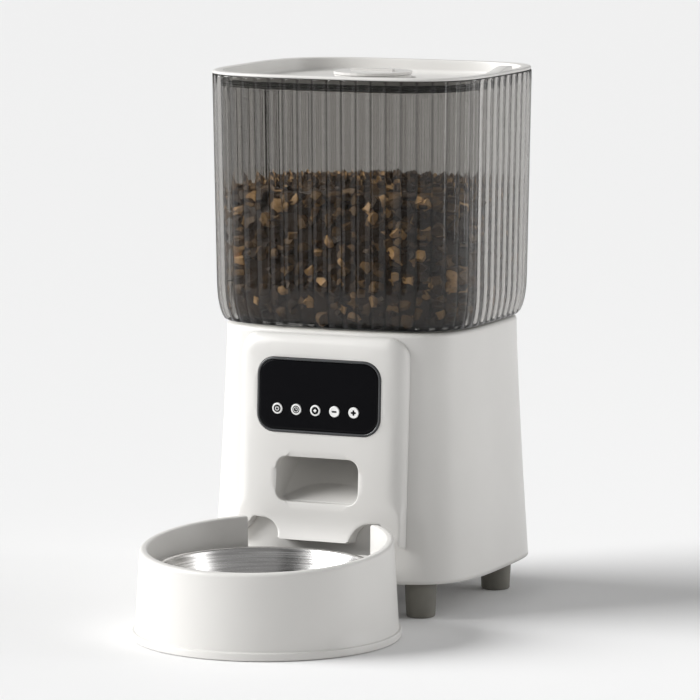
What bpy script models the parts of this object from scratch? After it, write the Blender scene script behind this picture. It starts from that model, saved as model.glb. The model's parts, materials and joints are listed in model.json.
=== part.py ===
"""Automatic pet feeder: a smoked food tank on a flared base, a portion wheel driven by a geared motor,
a chute in the front cover, and a steel bowl in a holder that pulls forward.

Units are metres. +Z is up, the front faces -Y, and the origin is on the ground under the middle of the
object's box. Every piece is an object of its own, in the collection named for the object."""

import math

import bmesh
import bpy
import numpy as np
from mathutils import Matrix, Vector

MM = 0.001

# ---------------------------------------------------------------- clearances
TOUCH_GAP = 0.3 * MM
SLIDE_GAP = 0.5 * MM
OVERCUT = 1 * MM
MARGIN = 4 * MM

# ---------------------------------------------------------------- base housing
BASE_BOTTOM_Z = 22 * MM
BASE_TOP_Z = 175.5 * MM
BASE_TOP_HALF_WIDTH = 82 * MM
BASE_TOP_HALF_DEPTH = 76 * MM
BASE_FLARE_WIDTH = 7 * MM
BASE_FLARE_DEPTH = 8 * MM
FLARE_POWER = 1.3
CORNER_POWER = 3.8
BASE_WALL = 2.5 * MM
BASE_TOP_ROUND = 3 * MM
DECK_HOLE_MARGIN = 3 * MM
OUTLINE_POINTS = 44

# ---------------------------------------------------------------- tank
TANK_RIM_Z = 330 * MM
TANK_OVERHANG = 8 * MM
TANK_DRAFT = 2.5 * MM
TANK_FOOT_INSET = 5.5 * MM
TANK_FOOT_HEIGHT = 23 * MM
TANK_SEAT_GAP = 1.5 * MM
TANK_WALL = 2.4 * MM
TANK_FOOT_ROUND = 1.5 * MM
TANK_FLOOR_SHARE = 0.75
NECK_MARGIN = 5 * MM
NECK_DEPTH = 27 * MM
NECK_TOP_DROP = 6 * MM

# ---------------------------------------------------------------- lid
LID_SHEET = 1.8 * MM
LID_SINK = 8 * MM
LID_SEAL_ROOM = 2.4 * MM
LID_EDGE_GAP = 0.4 * MM
LID_BEND = 4 * MM
SEAL_HEIGHT = 4 * MM
SEAL_RISE = 1 * MM
TAB_LENGTH = 25 * MM
TAB_RISE = 2.6 * MM
TAB_WIDTH = 9 * MM
TAB_EDGE = 1.5 * MM
TAB_FLAT = 3 * MM
DESICCANT_R = 24 * MM
DESICCANT_DROP = 1.5 * MM
DESICCANT_FLANGE = 3 * MM
DESICCANT_HEIGHT = 7.5 * MM
DESICCANT_WALL = 1.8 * MM
DESICCANT_COVER_SHEET = 1.6 * MM
DESICCANT_GRIP_HALF_LENGTH = 14 * MM
DESICCANT_GRIP_HALF_WIDTH = 2 * MM
DESICCANT_GRIP_HEIGHT = 1.5 * MM
DESICCANT_COVER_LIP = 0.6 * MM
DESICCANT_SLOT_PITCH = 10 * MM
DESICCANT_SLOT_HALF = 1.2 * MM

# ---------------------------------------------------------------- front cover, display and keys
COVER_PROUD = 7 * MM
COVER_WALL = 2.5 * MM
COVER_HALF_WIDTH = 56 * MM
COVER_DROP = 2.5 * MM
COVER_FOOT_Z = 43.5 * MM
COVER_CORNER_R = 13 * MM
NOTCH_R = 12 * MM
NOTCH_X = 36.4 * MM
NOTCH_Z = 46.5 * MM
PEAK_X = 42 * MM
LIP_REACH = 8 * MM
LIP_TOP_Z = 62 * MM
LIP_TURN = 78
DISPLAY_WIDTH = 83 * MM
DISPLAY_HEIGHT = 46.5 * MM
DISPLAY_DROP = 37.4 * MM
DISPLAY_CORNER_R = 11.5 * MM
BEZEL_WIDTH = 1.6 * MM
BEZEL_PROUD = 0.7 * MM
WINDOW_WALL = 2.2 * MM
KEY_R = 3.4 * MM
KEY_PITCH = 12.8 * MM
KEY_X = -1.6 * MM
KEY_DROP = 8.6 * MM
KEY_TRAVEL = 0.8 * MM
KEY_PROUD = 0.3 * MM
KEY_STEM = 6.5 * MM
SWITCH_HALF = 3 * MM
KEY_NAMES = ("power", "clock", "feed", "minus", "plus")
BOARD_INSET = 3.5 * MM
BOARD_GAP = 1 * MM
BOARD_SHEET = 1.6 * MM
BOARD_SETBACK = 5 * MM
LED_HEIGHT = 17 * MM
LED_HALF_WIDTH = 26 * MM
LED_RISE = 8 * MM
LED_GAP = 1.5 * MM

# ---------------------------------------------------------------- chute
CHUTE_WIDTH = 55 * MM
CHUTE_BOTTOM_Z = 69.8 * MM
CHUTE_TOP_Z = 97.8 * MM
CHUTE_CORNER_R = 7 * MM
CHUTE_WALL = 2 * MM
CHUTE_LEVEL_RUN = 22 * MM
CHUTE_BACK_DROP = 4 * MM

# ---------------------------------------------------------------- dosing drive
DRUM_R = 38 * MM
DRUM_WALL = 2.5 * MM
DRUM_DEPTH = 67.5 * MM
DRUM_FLANGE = 8 * MM
ROTOR_VANES = 5
ROTOR_HUB_R = 9 * MM
ROTOR_HEIGHT = 26 * MM
VANE_HALF_SHEET = 1.3 * MM
ROTOR_TIP_GAP = 1.2 * MM
ROTOR_FLOOR_GAP = 0.8 * MM
SHAFT_R = 3 * MM
SHAFT_GAP = 0.08 * MM
OUTLET_R = 10 * MM
OUTLET_EDGE = 0.8 * MM
BAFFLE_SHEET = 2 * MM
BAFFLE_GAP = 2 * MM
BAFFLE_HUB_GAP = 3 * MM
BAFFLE_HALF_ANGLE = 38
AGITATOR_PROFILE = ((0.0, 16 * MM), (4 * MM, 15 * MM), (7 * MM, 6 * MM), (8.5 * MM, 0.0), (0.0, 0.0))
AGITATOR_ARM_END_GAP = 4 * MM
AGITATOR_ARM_HALF = 2 * MM
AGITATOR_ARM_Z = 6 * MM
AGITATOR_ARM_HEIGHT = 4 * MM
GEAR_MODULE = 1 * MM
DRIVE_TEETH = 24
PINION_TEETH = 12
GEAR_SHEET = 6 * MM
GEAR_BACKLASH = 0.3 * MM
GEAR_ADDENDUM = 0.8
GEAR_DEDENDUM = 1.15
TOOTH_ROOT_SHARE = 0.27
TOOTH_TIP_SHARE = 0.11
GEAR_DROP = 3 * MM
GEAR_UNDER_GAP = 2 * MM
PINION_BORE_R = 1.6 * MM
MOTOR_SHAFT_R = 1.3 * MM
MOTOR_CAN_R = 12 * MM
MOTOR_CAN_LENGTH = 15 * MM
GEARBOX_HALF_WIDTH = 16 * MM
GEARBOX_FRONT = 12 * MM
GEARBOX_REAR = 14 * MM
GEARBOX_HEIGHT = 12 * MM
BRACKET_SHEET = 2.5 * MM
BRACKET_HALF_WIDTH = 26 * MM
BRACKET_REAR = 16 * MM
BRACKET_HOLE_R = 4 * MM
LUG_X = 20 * MM
LUG_BEHIND = 9 * MM
LUG_R = 4 * MM

# ---------------------------------------------------------------- feet, base plate, battery bay and socket
FOOT_TOP_R = 10 * MM
FOOT_BOTTOM_R = 9.2 * MM
FOOT_FRONT_SHARE = (0.674, 0.762)
FOOT_REAR_SHARE = (0.742, 0.524)
FOOT_CHAMFER = 1 * MM
PEG_R = 4 * MM
PEG_LENGTH = 8 * MM
PLATE_SHEET = 2.5 * MM
BAY_HALF_WIDTH = 32 * MM
BAY_DEPTH = 104 * MM
BAY_HEIGHT = 35 * MM
BAY_WALL = 1.8 * MM
BAY_REAR_SETBACK = 22 * MM
DOOR_SHEET = 1.8 * MM
DOOR_OVERLAP = 3 * MM
RAIL_SHEET = 1.5 * MM
RAIL_SHELF = 1.2 * MM
GROOVE_COUNT = 3
GROOVE_PITCH = 4 * MM
GROOVE_WIDTH = 1.6 * MM
GROOVE_DEPTH = 0.7 * MM
GROOVE_HALF_LENGTH = 14 * MM
CONTACT_SHEET = 0.8 * MM
CONTACT_END_GAP = 8 * MM
CONTACT_EDGE_GAP = 6 * MM
SCREW_HEAD_R = 3.2 * MM
SCREW_HEAD = 1.8 * MM
SCREW_R = 1.5 * MM
SCREW_LENGTH = 9 * MM
POST_R = 5 * MM
POST_HEIGHT = 18 * MM
POST_SHARE = (0.871, 0.619)
SOCKET_Z = 76 * MM
SOCKET_R = 6 * MM
SOCKET_BORE_R = 3.2 * MM
SOCKET_LENGTH = 16 * MM
SOCKET_FLANGE_R = 8 * MM
SOCKET_FLANGE = 1.4 * MM
SOCKET_PIN_R = 0.9 * MM
SOCKET_PIN_SETBACK = 7 * MM
SOCKET_FLOOR = 3 * MM

# ---------------------------------------------------------------- bowl and its holder
HOLDER_GAP = 1.3 * MM
FLANGE_PROUD = 1.6 * MM
FLANGE_HEIGHT = 5 * MM
HOLDER_FLARE = 3 * MM
HOLDER_STRETCH = 6 * MM
HOLDER_FRONT_Z = 51 * MM
HOLDER_REAR_Z = 62 * MM
HOLDER_RIM_WALL = 5 * MM
HOLDER_RIM_ROUND = 1.5 * MM
HOLDER_BACK_GAP = 1.5 * MM
HOLDER_SKIRT_WALL = 2.5 * MM
LEDGE_SHEET = 2.5 * MM
HOLDER_FLOOR = 2 * MM
HOLDER_POINTS = 52
PASSAGE_HALF_WIDTH = 38 * MM
PASSAGE_DROP = 9 * MM
PASSAGE_LIP_GAP = 2 * MM
GRIP_RING_INSET = 5 * MM
GRIP_RING_WIDTH = 4 * MM
GRIP_RING_HEIGHT = 1.2 * MM
TONGUE_HALF_WIDTH = 22 * MM
TONGUE_REACH = 30 * MM
TONGUE_SHEET = 6 * MM
TONGUE_WEB = 4 * MM
GUIDE_SHEET = 3 * MM
BOWL_RIM_R = 66.3 * MM
BOWL_RIM_Z = 44 * MM
BOWL_SHIFT = 3.2 * MM
BOWL_DEPTH = 30 * MM
BOWL_SHEET = 0.9 * MM
BOWL_RIM_WIDTH = 3.5 * MM
BOWL_ROOM = 1.5 * MM
BOWL_FLOOR_INSET = 16.3 * MM
BOWL_BEND_R = 9 * MM

# ---------------------------------------------------------------- places worked out from the sizes above
TANK_RIM_HALF_WIDTH = BASE_TOP_HALF_WIDTH + TANK_OVERHANG
TANK_RIM_HALF_DEPTH = BASE_TOP_HALF_DEPTH + TANK_OVERHANG
BASE_FOOT_HALF_WIDTH = BASE_TOP_HALF_WIDTH + BASE_FLARE_WIDTH
BASE_FOOT_HALF_DEPTH = BASE_TOP_HALF_DEPTH + BASE_FLARE_DEPTH
BOARD_HALF_WIDTH = DISPLAY_WIDTH / 2 - BOARD_INSET
BOARD_HALF_HEIGHT = DISPLAY_HEIGHT / 2 - BOARD_INSET
COVER_TOP_Z = BASE_TOP_Z - COVER_DROP
DISPLAY_Z = COVER_TOP_Z - DISPLAY_DROP
KEY_Z = DISPLAY_Z - KEY_DROP
DRUM_FLOOR_Z = BASE_TOP_Z - DRUM_DEPTH
DECK_HOLE_R = DRUM_R + DECK_HOLE_MARGIN
NECK_R = DRUM_R - NECK_MARGIN
OUTLET_OFFSET = DRUM_R - OUTLET_EDGE - OUTLET_R
BOWL_FLOOR_R = BOWL_RIM_R - BOWL_FLOOR_INSET
HOLDER_RIM_R = BOWL_RIM_R + BOWL_SHIFT + BOWL_ROOM + HOLDER_RIM_WALL
HOLDER_BOTTOM_R = HOLDER_RIM_R + HOLDER_FLARE
FLANGE_R = HOLDER_BOTTOM_R + FLANGE_PROUD
GRIP_RING_R = HOLDER_BOTTOM_R - GRIP_RING_INSET
HOLDER_AHEAD = BASE_FOOT_HALF_DEPTH + HOLDER_RIM_R + HOLDER_GAP
TOTAL_DEPTH = FLANGE_R + HOLDER_AHEAD + TANK_RIM_HALF_DEPTH
BASE_Y = TOTAL_DEPTH / 2 - TANK_RIM_HALF_DEPTH
HOLDER_Y = BASE_Y - HOLDER_AHEAD
BOWL_Y = HOLDER_Y - BOWL_SHIFT
TANK_FOOT_Z = BASE_TOP_Z + TANK_SEAT_GAP
PLATE_TOP_Z = BASE_BOTTOM_Z + PLATE_SHEET + TOUCH_GAP
GEAR_TOP_Z = DRUM_FLOOR_Z - GEAR_DROP
GEAR_DISTANCE = (DRIVE_TEETH + PINION_TEETH) * GEAR_MODULE / 2 + GEAR_BACKLASH
BRACKET_TOP_Z = GEAR_TOP_Z - GEAR_SHEET - GEAR_UNDER_GAP
ROTOR_LOW_Z = DRUM_FLOOR_Z + DRUM_WALL + ROTOR_FLOOR_GAP


def new_collection(name):
    collection = bpy.data.collections.new(name)
    bpy.context.scene.collection.children.link(collection)
    return collection


def material(name, colour, roughness, metallic=0.0, alpha=1.0):
    made = bpy.data.materials.new(name)
    made.use_nodes = True
    shader = made.node_tree.nodes["Principled BSDF"]
    shader.inputs["Base Color"].default_value = (*colour, 1.0)
    shader.inputs["Roughness"].default_value = roughness
    shader.inputs["Metallic"].default_value = metallic
    shader.inputs["Alpha"].default_value = alpha
    return made


def clear_scene():
    for obj in list(bpy.data.objects):
        bpy.data.objects.remove(obj, do_unlink=True)


clear_scene()
PARTS = new_collection("pet_feeder")
CUTTERS = new_collection("cutters")
WHITE = material("white_plastic", (0.86, 0.86, 0.85), 0.38)
SMOKE = material("smoked_clear", (0.20, 0.20, 0.20), 0.08, 0.0, 0.45)
BLACK = material("display_black", (0.012, 0.012, 0.013), 0.10)
GREY = material("bezel_grey", (0.42, 0.43, 0.44), 0.30)
TAUPE = material("foot_taupe", (0.17, 0.16, 0.14), 0.60)
RUBBER = material("seal_rubber", (0.30, 0.30, 0.30), 0.75)
STEEL = material("steel", (0.62, 0.61, 0.60), 0.25, 1.0)
INNER = material("inner_plastic", (0.55, 0.56, 0.57), 0.50)
GEARS = material("gear_acetal", (0.82, 0.80, 0.74), 0.45)
BOARD = material("board_green", (0.03, 0.16, 0.08), 0.50)
METAL = material("plated_metal", (0.55, 0.56, 0.58), 0.35, 1.0)
KEYS = material("key_white", (0.88, 0.88, 0.88), 0.35)


# ---------------------------------------------------------------- shapes
def add(name, mesh, finish=None, smooth=False):
    """An object of this mesh: a piece when it has a finish, or else a hidden helper for a Boolean."""
    obj = bpy.data.objects.new(name, mesh)
    if finish is None:
        CUTTERS.objects.link(obj)
        obj.hide_render = True
        obj.display_type = "WIRE"
        return obj
    PARTS.objects.link(obj)
    obj.data.materials.append(finish)
    if smooth:
        mesh.shade_smooth()
        mesh.set_sharp_from_angle(angle=math.radians(35))
    return obj


def box(name, low, high, finish=None):
    form = bmesh.new()
    low = Vector(low)
    high = Vector(high)
    bmesh.ops.create_cube(form, size=1.0)
    bmesh.ops.scale(form, vec=high - low, verts=form.verts)
    bmesh.ops.translate(form, vec=(low + high) / 2, verts=form.verts)
    mesh = bpy.data.meshes.new(name)
    form.to_mesh(mesh)
    form.free()
    return add(name, mesh, finish)


def rod(name, centre, low, high, radius, finish=None, top_radius=None, sides=24, axis="Z"):
    """A cylinder or cone along an axis. centre is its place on the other two axes, in X, Y, Z order."""
    form = bmesh.new()
    top = radius if top_radius is None else top_radius
    bmesh.ops.create_cone(
        form, cap_ends=True, segments=sides, radius1=radius, radius2=top, depth=high - low
    )
    middle = (low + high) / 2
    if axis == "Z":
        place = Matrix.Translation((centre[0], centre[1], middle))
    else:
        turn = Matrix.Rotation(math.radians(90), 4, "X")
        place = Matrix.Translation((centre[0], middle, centre[1])) @ turn
    bmesh.ops.transform(form, matrix=place, verts=form.verts)
    mesh = bpy.data.meshes.new(name)
    form.to_mesh(mesh)
    form.free()
    return add(name, mesh, finish, smooth=True)


def extruded(name, points, low, high, finish=None, axis="Z"):
    """A flat outline with thickness. The points are (X, Y) for axis Z, (X, Z) for Y and (Y, Z) for X."""
    curve = bpy.data.curves.new(name, "CURVE")
    curve.dimensions = "2D"
    curve.fill_mode = "BOTH"
    curve.extrude = (high - low) / 2
    spline = curve.splines.new("POLY")
    spline.points.add(len(points) - 1)
    for target, point in zip(spline.points, points):
        target.co = (point[0], point[1], 0.0, 1.0)
    spline.use_cyclic_u = True
    guide = bpy.data.objects.new(name + "_outline", curve)
    CUTTERS.objects.link(guide)
    bpy.context.view_layer.update()
    graph = bpy.context.evaluated_depsgraph_get()
    mesh = bpy.data.meshes.new_from_object(guide.evaluated_get(graph))
    bpy.data.objects.remove(guide, do_unlink=True)
    middle = (low + high) / 2
    turns = {
        "Z": Matrix.Identity(4),
        "Y": Matrix(((1, 0, 0, 0), (0, 0, -1, 0), (0, 1, 0, 0), (0, 0, 0, 1))),
        "X": Matrix(((0, 0, 1, 0), (1, 0, 0, 0), (0, 1, 0, 0), (0, 0, 0, 1))),
    }
    shift = {"Z": (0, 0, middle), "Y": (0, middle, 0), "X": (middle, 0, 0)}
    form = bmesh.new()
    form.from_mesh(mesh)
    bmesh.ops.remove_doubles(form, verts=form.verts, dist=0.00001)
    bmesh.ops.transform(form, matrix=Matrix.Translation(shift[axis]) @ turns[axis], verts=form.verts)
    bmesh.ops.recalc_face_normals(form, faces=form.faces)
    form.to_mesh(mesh)
    form.free()
    mesh.name = name
    return add(name, mesh, finish)


def turned(name, profile, centre, finish=None, steps=40):
    """A profile of (radius, z) points, run down its outer side from top to bottom, turned about Z."""
    mesh = bpy.data.meshes.new(name)
    mesh.from_pydata([(r, 0.0, z) for r, z in profile], [(i, i + 1) for i in range(len(profile) - 1)], [])
    obj = add(name, mesh, finish)
    obj.location = (centre[0], centre[1], 0.0)
    turn = obj.modifiers.new("turn", "SCREW")
    turn.steps = steps
    turn.render_steps = steps
    turn.use_merge_vertices = True
    turn.merge_threshold = 0.00001
    turn.use_smooth_shade = True
    return obj


def loft(name, rings, finish=None, wall=None, cap_first=False, cap_last=False, loop=False):
    """A skin through rings of equal length, each anticlockwise from above. wall thickens it inwards."""
    points = np.concatenate(rings)
    count = len(rings[0])
    faces = []
    last = len(rings) if loop else len(rings) - 1
    for level in range(last):
        low = level * count
        high = ((level + 1) % len(rings)) * count
        for i in range(count):
            j = (i + 1) % count
            faces.append((low + i, low + j, high + j, high + i))
    if cap_first:
        faces.append(tuple(reversed(range(count))))
    if cap_last:
        faces.append(tuple(range((len(rings) - 1) * count, len(rings) * count)))
    mesh = bpy.data.meshes.new(name)
    mesh.from_pydata(points.tolist(), [], faces)
    obj = add(name, mesh, finish, smooth=finish is not None)
    if wall is not None:
        shell = obj.modifiers.new("wall", "SOLIDIFY")
        shell.thickness = wall
        shell.offset = -1.0
        shell.use_even_offset = True
    return obj


def cut(target, *tools, operation="DIFFERENCE", solver="EXACT"):
    for tool in tools:
        step = target.modifiers.new(tool.name, "BOOLEAN")
        step.operation = operation
        step.solver = solver
        step.object = tool
    return target


def join(target, *tools, solver="EXACT"):
    return cut(target, *tools, operation="UNION", solver=solver)


def squircle(half_width, half_depth, z, power=CORNER_POWER, count=OUTLINE_POINTS, centre_y=None):
    """Points of the outline |x/half_width|^power + |y/half_depth|^power = 1 at height z."""
    turn = np.linspace(0, 2 * np.pi, count, endpoint=False)
    flat = np.sign(np.cos(turn)) * np.abs(np.cos(turn)) ** (2 / power)
    deep = np.sign(np.sin(turn)) * np.abs(np.sin(turn)) ** (2 / power)
    middle = BASE_Y if centre_y is None else centre_y
    return np.stack([half_width * flat, half_depth * deep + middle, np.full(count, z)], axis=1)


def arc(x, y, radius, start, end, steps):
    """Points of a circle's arc, in degrees."""
    angles = np.radians(np.linspace(start, end, steps))
    return [(x + radius * math.cos(a), y + radius * math.sin(a)) for a in angles]


def rounded_rectangle(x, y, width, height, radius, steps=6):
    right = x + width / 2 - radius
    left = x - width / 2 + radius
    top = y + height / 2 - radius
    bottom = y - height / 2 + radius
    return (
        arc(right, top, radius, 0, 90, steps)
        + arc(left, top, radius, 90, 180, steps)
        + arc(left, bottom, radius, 180, 270, steps)
        + arc(right, bottom, radius, 270, 360, steps)
    )


# ---------------------------------------------------------------- the base's outer form
def base_half_width(z):
    share = (BASE_TOP_Z - z) / (BASE_TOP_Z - BASE_BOTTOM_Z)
    return BASE_TOP_HALF_WIDTH + BASE_FLARE_WIDTH * max(share, 0.0) ** FLARE_POWER


def base_half_depth(z):
    share = (BASE_TOP_Z - z) / (BASE_TOP_Z - BASE_BOTTOM_Z)
    return BASE_TOP_HALF_DEPTH + BASE_FLARE_DEPTH * max(share, 0.0) ** FLARE_POWER


def front_y(x, z, proud=0.0):
    """Where the base's front surface, raised by proud, lies at this x and z."""
    wide = base_half_width(z) + proud
    deep = base_half_depth(z) + proud
    return BASE_Y - deep * (1 - abs(x / wide) ** CORNER_POWER) ** (1 / CORNER_POWER)


def front_slab(name, inner, outer, half_width, low, high, finish=None, columns=18, rows=6):
    """A slab that follows the base's front, from inner to outer in front of it."""
    across = np.linspace(-half_width, half_width, columns + 1)
    rings = []
    for z in np.linspace(low, high, rows):
        back = [(x, front_y(x, z, inner), z) for x in across[::-1]]
        face = [(x, front_y(x, z, outer), z) for x in across]
        rings.append(np.array(face + back))
    return loft(name, rings, finish, cap_first=True, cap_last=True)


def make_base_shell():
    heights = np.linspace(BASE_BOTTOM_Z, BASE_TOP_Z - BASE_TOP_ROUND, 6)
    rings = [squircle(base_half_width(z), base_half_depth(z), z) for z in heights]
    for angle in np.radians((35, 65, 90)):
        inset = BASE_TOP_ROUND * (1 - math.cos(angle))
        z = BASE_TOP_Z - BASE_TOP_ROUND * (1 - math.sin(angle))
        rings.append(squircle(base_half_width(z) - inset, base_half_depth(z) - inset, z))
    rings.append(squircle(DECK_HOLE_R, DECK_HOLE_R, BASE_TOP_Z, power=2))
    shell = loft("base_shell", rings, WHITE, wall=BASE_WALL)
    post_low = PLATE_TOP_Z + TOUCH_GAP
    for name, place in screw_places().items():
        post = rod(f"post_{name}", place, post_low, post_low + POST_HEIGHT, POST_R, sides=16)
        pilot_top = PLATE_TOP_Z + SCREW_LENGTH + OVERCUT
        pilot = rod(
            f"pilot_{name}", place, PLATE_TOP_Z - OVERCUT, pilot_top, SCREW_R + TOUCH_GAP, sides=12
        )
        join(shell, post)
        cut(shell, pilot)
    outline = rounded_rectangle(
        0,
        DISPLAY_Z,
        2 * (BOARD_HALF_WIDTH + BOARD_GAP),
        2 * (BOARD_HALF_HEIGHT + BOARD_GAP),
        BOARD_GAP,
        4,
    )
    front_reach = BASE_Y - BASE_TOP_HALF_DEPTH / 2
    window = extruded("base_display_hole", outline, -TOTAL_DEPTH, front_reach, axis="Y")
    slack = CHUTE_WALL + SLIDE_GAP
    mouth = box(
        "base_chute_hole",
        (-CHUTE_WIDTH / 2 - slack, -TOTAL_DEPTH, CHUTE_BOTTOM_Z - slack),
        (CHUTE_WIDTH / 2 + slack, front_reach, CHUTE_TOP_Z + slack),
    )
    socket = rod(
        "base_socket_hole",
        (0, SOCKET_Z),
        BASE_Y + BASE_TOP_HALF_DEPTH / 2,
        BASE_Y + TANK_RIM_HALF_DEPTH + BASE_FLARE_DEPTH,
        SOCKET_R + TOUCH_GAP,
        sides=24,
        axis="Y",
    )
    return cut(shell, window, mouth, socket)


# ---------------------------------------------------------------- front cover, display and keys
def cover_outline(inset=0.0):
    """The cover's outline in X and Z: round top corners, a peak over each side of the bowl holder, and a
    tongue between the two quarter-round notches."""
    wide = COVER_HALF_WIDTH - inset
    top = COVER_TOP_Z - inset
    radius = COVER_CORNER_R - inset
    notch = NOTCH_R + inset
    right = arc(wide - radius, top - radius, radius, 90, 0, 6)
    right += [(wide, COVER_FOOT_Z + 2 * inset), (PEAK_X, NOTCH_Z + notch)]
    right += arc(NOTCH_X, NOTCH_Z, notch, 90, 180, 6)[:-1]
    right += [(NOTCH_X - notch, NOTCH_Z + inset)]
    left = [(-x, z) for x, z in reversed(right)]
    return right + left


def make_front_cover():
    span = (COVER_HALF_WIDTH + MARGIN, COVER_FOOT_Z - MARGIN, COVER_TOP_Z + MARGIN / 2)
    blank = front_slab("front_cover", TOUCH_GAP, COVER_PROUD, *span, WHITE)
    reach = (-TOTAL_DEPTH, BASE_Y)
    cut(blank, extruded("cover_edge", cover_outline(), *reach, axis="Y"), operation="INTERSECT")
    hollow = front_slab("cover_hollow", -OVERCUT, COVER_PROUD - COVER_WALL, *span)
    hollow_edge = extruded("hollow_edge", cover_outline(COVER_WALL), *reach, axis="Y")
    cut(hollow, hollow_edge, operation="INTERSECT")
    cut(blank, hollow)
    face = front_y(0, NOTCH_Z, COVER_PROUD)
    sweep = arc(face - LIP_REACH, LIP_TOP_Z, LIP_REACH, 0, -LIP_TURN, 6)
    drop = LIP_TOP_Z - NOTCH_Z
    outer = [(y, LIP_TOP_Z + (z - LIP_TOP_Z) * drop / LIP_REACH) for y, z in sweep]
    lip = [(face + COVER_WALL, LIP_TOP_Z)] + outer
    lip += [(outer[-1][0], NOTCH_Z), (face + COVER_WALL, NOTCH_Z)]
    half = NOTCH_X - NOTCH_R
    join(blank, extruded("cover_lip", lip, -half, half, axis="X"))
    outline = rounded_rectangle(0, DISPLAY_Z, DISPLAY_WIDTH, DISPLAY_HEIGHT, DISPLAY_CORNER_R)
    middle = (CHUTE_BOTTOM_Z + CHUTE_TOP_Z) / 2
    mouth = rounded_rectangle(0, middle, CHUTE_WIDTH, CHUTE_TOP_Z - CHUTE_BOTTOM_Z, CHUTE_CORNER_R, 5)
    return cut(
        blank,
        extruded("cover_display_hole", outline, *reach, axis="Y"),
        extruded("cover_chute_hole", mouth, *reach, axis="Y"),
    )


def display_piece(name, inset, inner, outer, finish):
    """A piece of the display: the part of a front slab inside the display's outline, drawn in by inset."""
    half_width = DISPLAY_WIDTH / 2 + MARGIN
    half_height = DISPLAY_HEIGHT / 2 + MARGIN
    slab = front_slab(
        name,
        inner,
        outer,
        half_width,
        DISPLAY_Z - half_height,
        DISPLAY_Z + half_height,
        finish,
        columns=10,
        rows=3,
    )
    outline = rounded_rectangle(
        0,
        DISPLAY_Z,
        DISPLAY_WIDTH - 2 * inset,
        DISPLAY_HEIGHT - 2 * inset,
        DISPLAY_CORNER_R - inset,
    )
    edge = extruded(name + "_edge", outline, -TOTAL_DEPTH, BASE_Y, axis="Y")
    return cut(slab, edge, operation="INTERSECT")


def key_places():
    first = KEY_X - KEY_PITCH * (len(KEY_NAMES) - 1) / 2
    return [(name, first + KEY_PITCH * i) for i, name in enumerate(KEY_NAMES)]


def make_display():
    inner = COVER_PROUD - COVER_WALL
    bezel = display_piece("display_bezel", TOUCH_GAP, inner, COVER_PROUD + BEZEL_PROUD, GREY)
    outline = rounded_rectangle(
        0,
        DISPLAY_Z,
        DISPLAY_WIDTH - 2 * BEZEL_WIDTH - 2 * TOUCH_GAP,
        DISPLAY_HEIGHT - 2 * BEZEL_WIDTH - 2 * TOUCH_GAP,
        DISPLAY_CORNER_R - BEZEL_WIDTH,
    )
    cut(bezel, extruded("bezel_hole", outline, -TOTAL_DEPTH, BASE_Y, axis="Y"))
    front = COVER_PROUD + BEZEL_PROUD / 2
    window = display_piece(
        "display_window", BEZEL_WIDTH + 2 * TOUCH_GAP, front - WINDOW_WALL, front, BLACK
    )
    board_y = front_y(0, DISPLAY_Z) + BOARD_SETBACK
    board = box(
        "control_board",
        (-BOARD_HALF_WIDTH, board_y, DISPLAY_Z - BOARD_HALF_HEIGHT),
        (BOARD_HALF_WIDTH, board_y + BOARD_SHEET, DISPLAY_Z + BOARD_HALF_HEIGHT),
        BOARD,
    )
    led_z = DISPLAY_Z + LED_RISE
    window_back = front_y(0, DISPLAY_Z, front - WINDOW_WALL)
    box(
        "led_module",
        (-LED_HALF_WIDTH, window_back + LED_GAP, led_z - LED_HEIGHT / 2),
        (LED_HALF_WIDTH, board_y - TOUCH_GAP, led_z + LED_HEIGHT / 2),
        BLACK,
    )
    for name, x in key_places():
        face = front_y(x, KEY_Z, front)
        stem_end = face + KEY_STEM
        hole_low = face - WINDOW_WALL - MARGIN
        hole = rod(f"{name}_hole", (x, KEY_Z), hole_low, stem_end, KEY_R + TOUCH_GAP, axis="Y")
        cut(window, hole)
        rod(f"key_{name}", (x, KEY_Z), face - KEY_PROUD, stem_end, KEY_R, KEYS, axis="Y")
        switch = box(
            f"switch_{name}",
            (x - SWITCH_HALF, stem_end + KEY_TRAVEL + SLIDE_GAP, KEY_Z - SWITCH_HALF),
            (x + SWITCH_HALF, board_y + BOARD_SHEET / 2, KEY_Z + SWITCH_HALF),
        )
        join(board, switch)


# ---------------------------------------------------------------- chute and dosing drive
def make_chute():
    """A duct whose floor falls from the drum's outlet and runs level to the mouth."""
    corner = (CHUTE_WIDTH / 2 + CHUTE_WALL, CHUTE_TOP_Z + CHUTE_WALL)
    face = front_y(*corner, COVER_PROUD - COVER_WALL) + 2 * TOUCH_GAP
    back = BASE_Y - OUTLET_OFFSET + OUTLET_R + SLIDE_GAP
    front_top = BASE_Y - OUTLET_OFFSET - OUTLET_R - SLIDE_GAP
    level = face + CHUTE_LEVEL_RUN
    entry = DRUM_FLOOR_Z - TOUCH_GAP
    wall = CHUTE_WALL
    outer = [
        (face, CHUTE_BOTTOM_Z - wall),
        (level + wall / 2, CHUTE_BOTTOM_Z - wall),
        (back + wall, CHUTE_TOP_Z - CHUTE_BACK_DROP - wall / 2),
        (back + wall, entry),
        (front_top - wall, entry),
        (front_top - wall, CHUTE_TOP_Z + wall),
        (face, CHUTE_TOP_Z + wall),
    ]
    half = CHUTE_WIDTH / 2
    duct = extruded("chute", outer, -half - wall, half + wall, WHITE, axis="X")
    inside = [
        (face - MARGIN, CHUTE_BOTTOM_Z),
        (level, CHUTE_BOTTOM_Z),
        (back, CHUTE_TOP_Z - CHUTE_BACK_DROP),
        (back, entry + MARGIN),
        (front_top, entry + MARGIN),
        (front_top, CHUTE_TOP_Z),
        (face - MARGIN, CHUTE_TOP_Z),
    ]
    hollow = extruded("chute_hollow", inside, -half, half, axis="X")
    return cut(duct, hollow)


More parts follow.
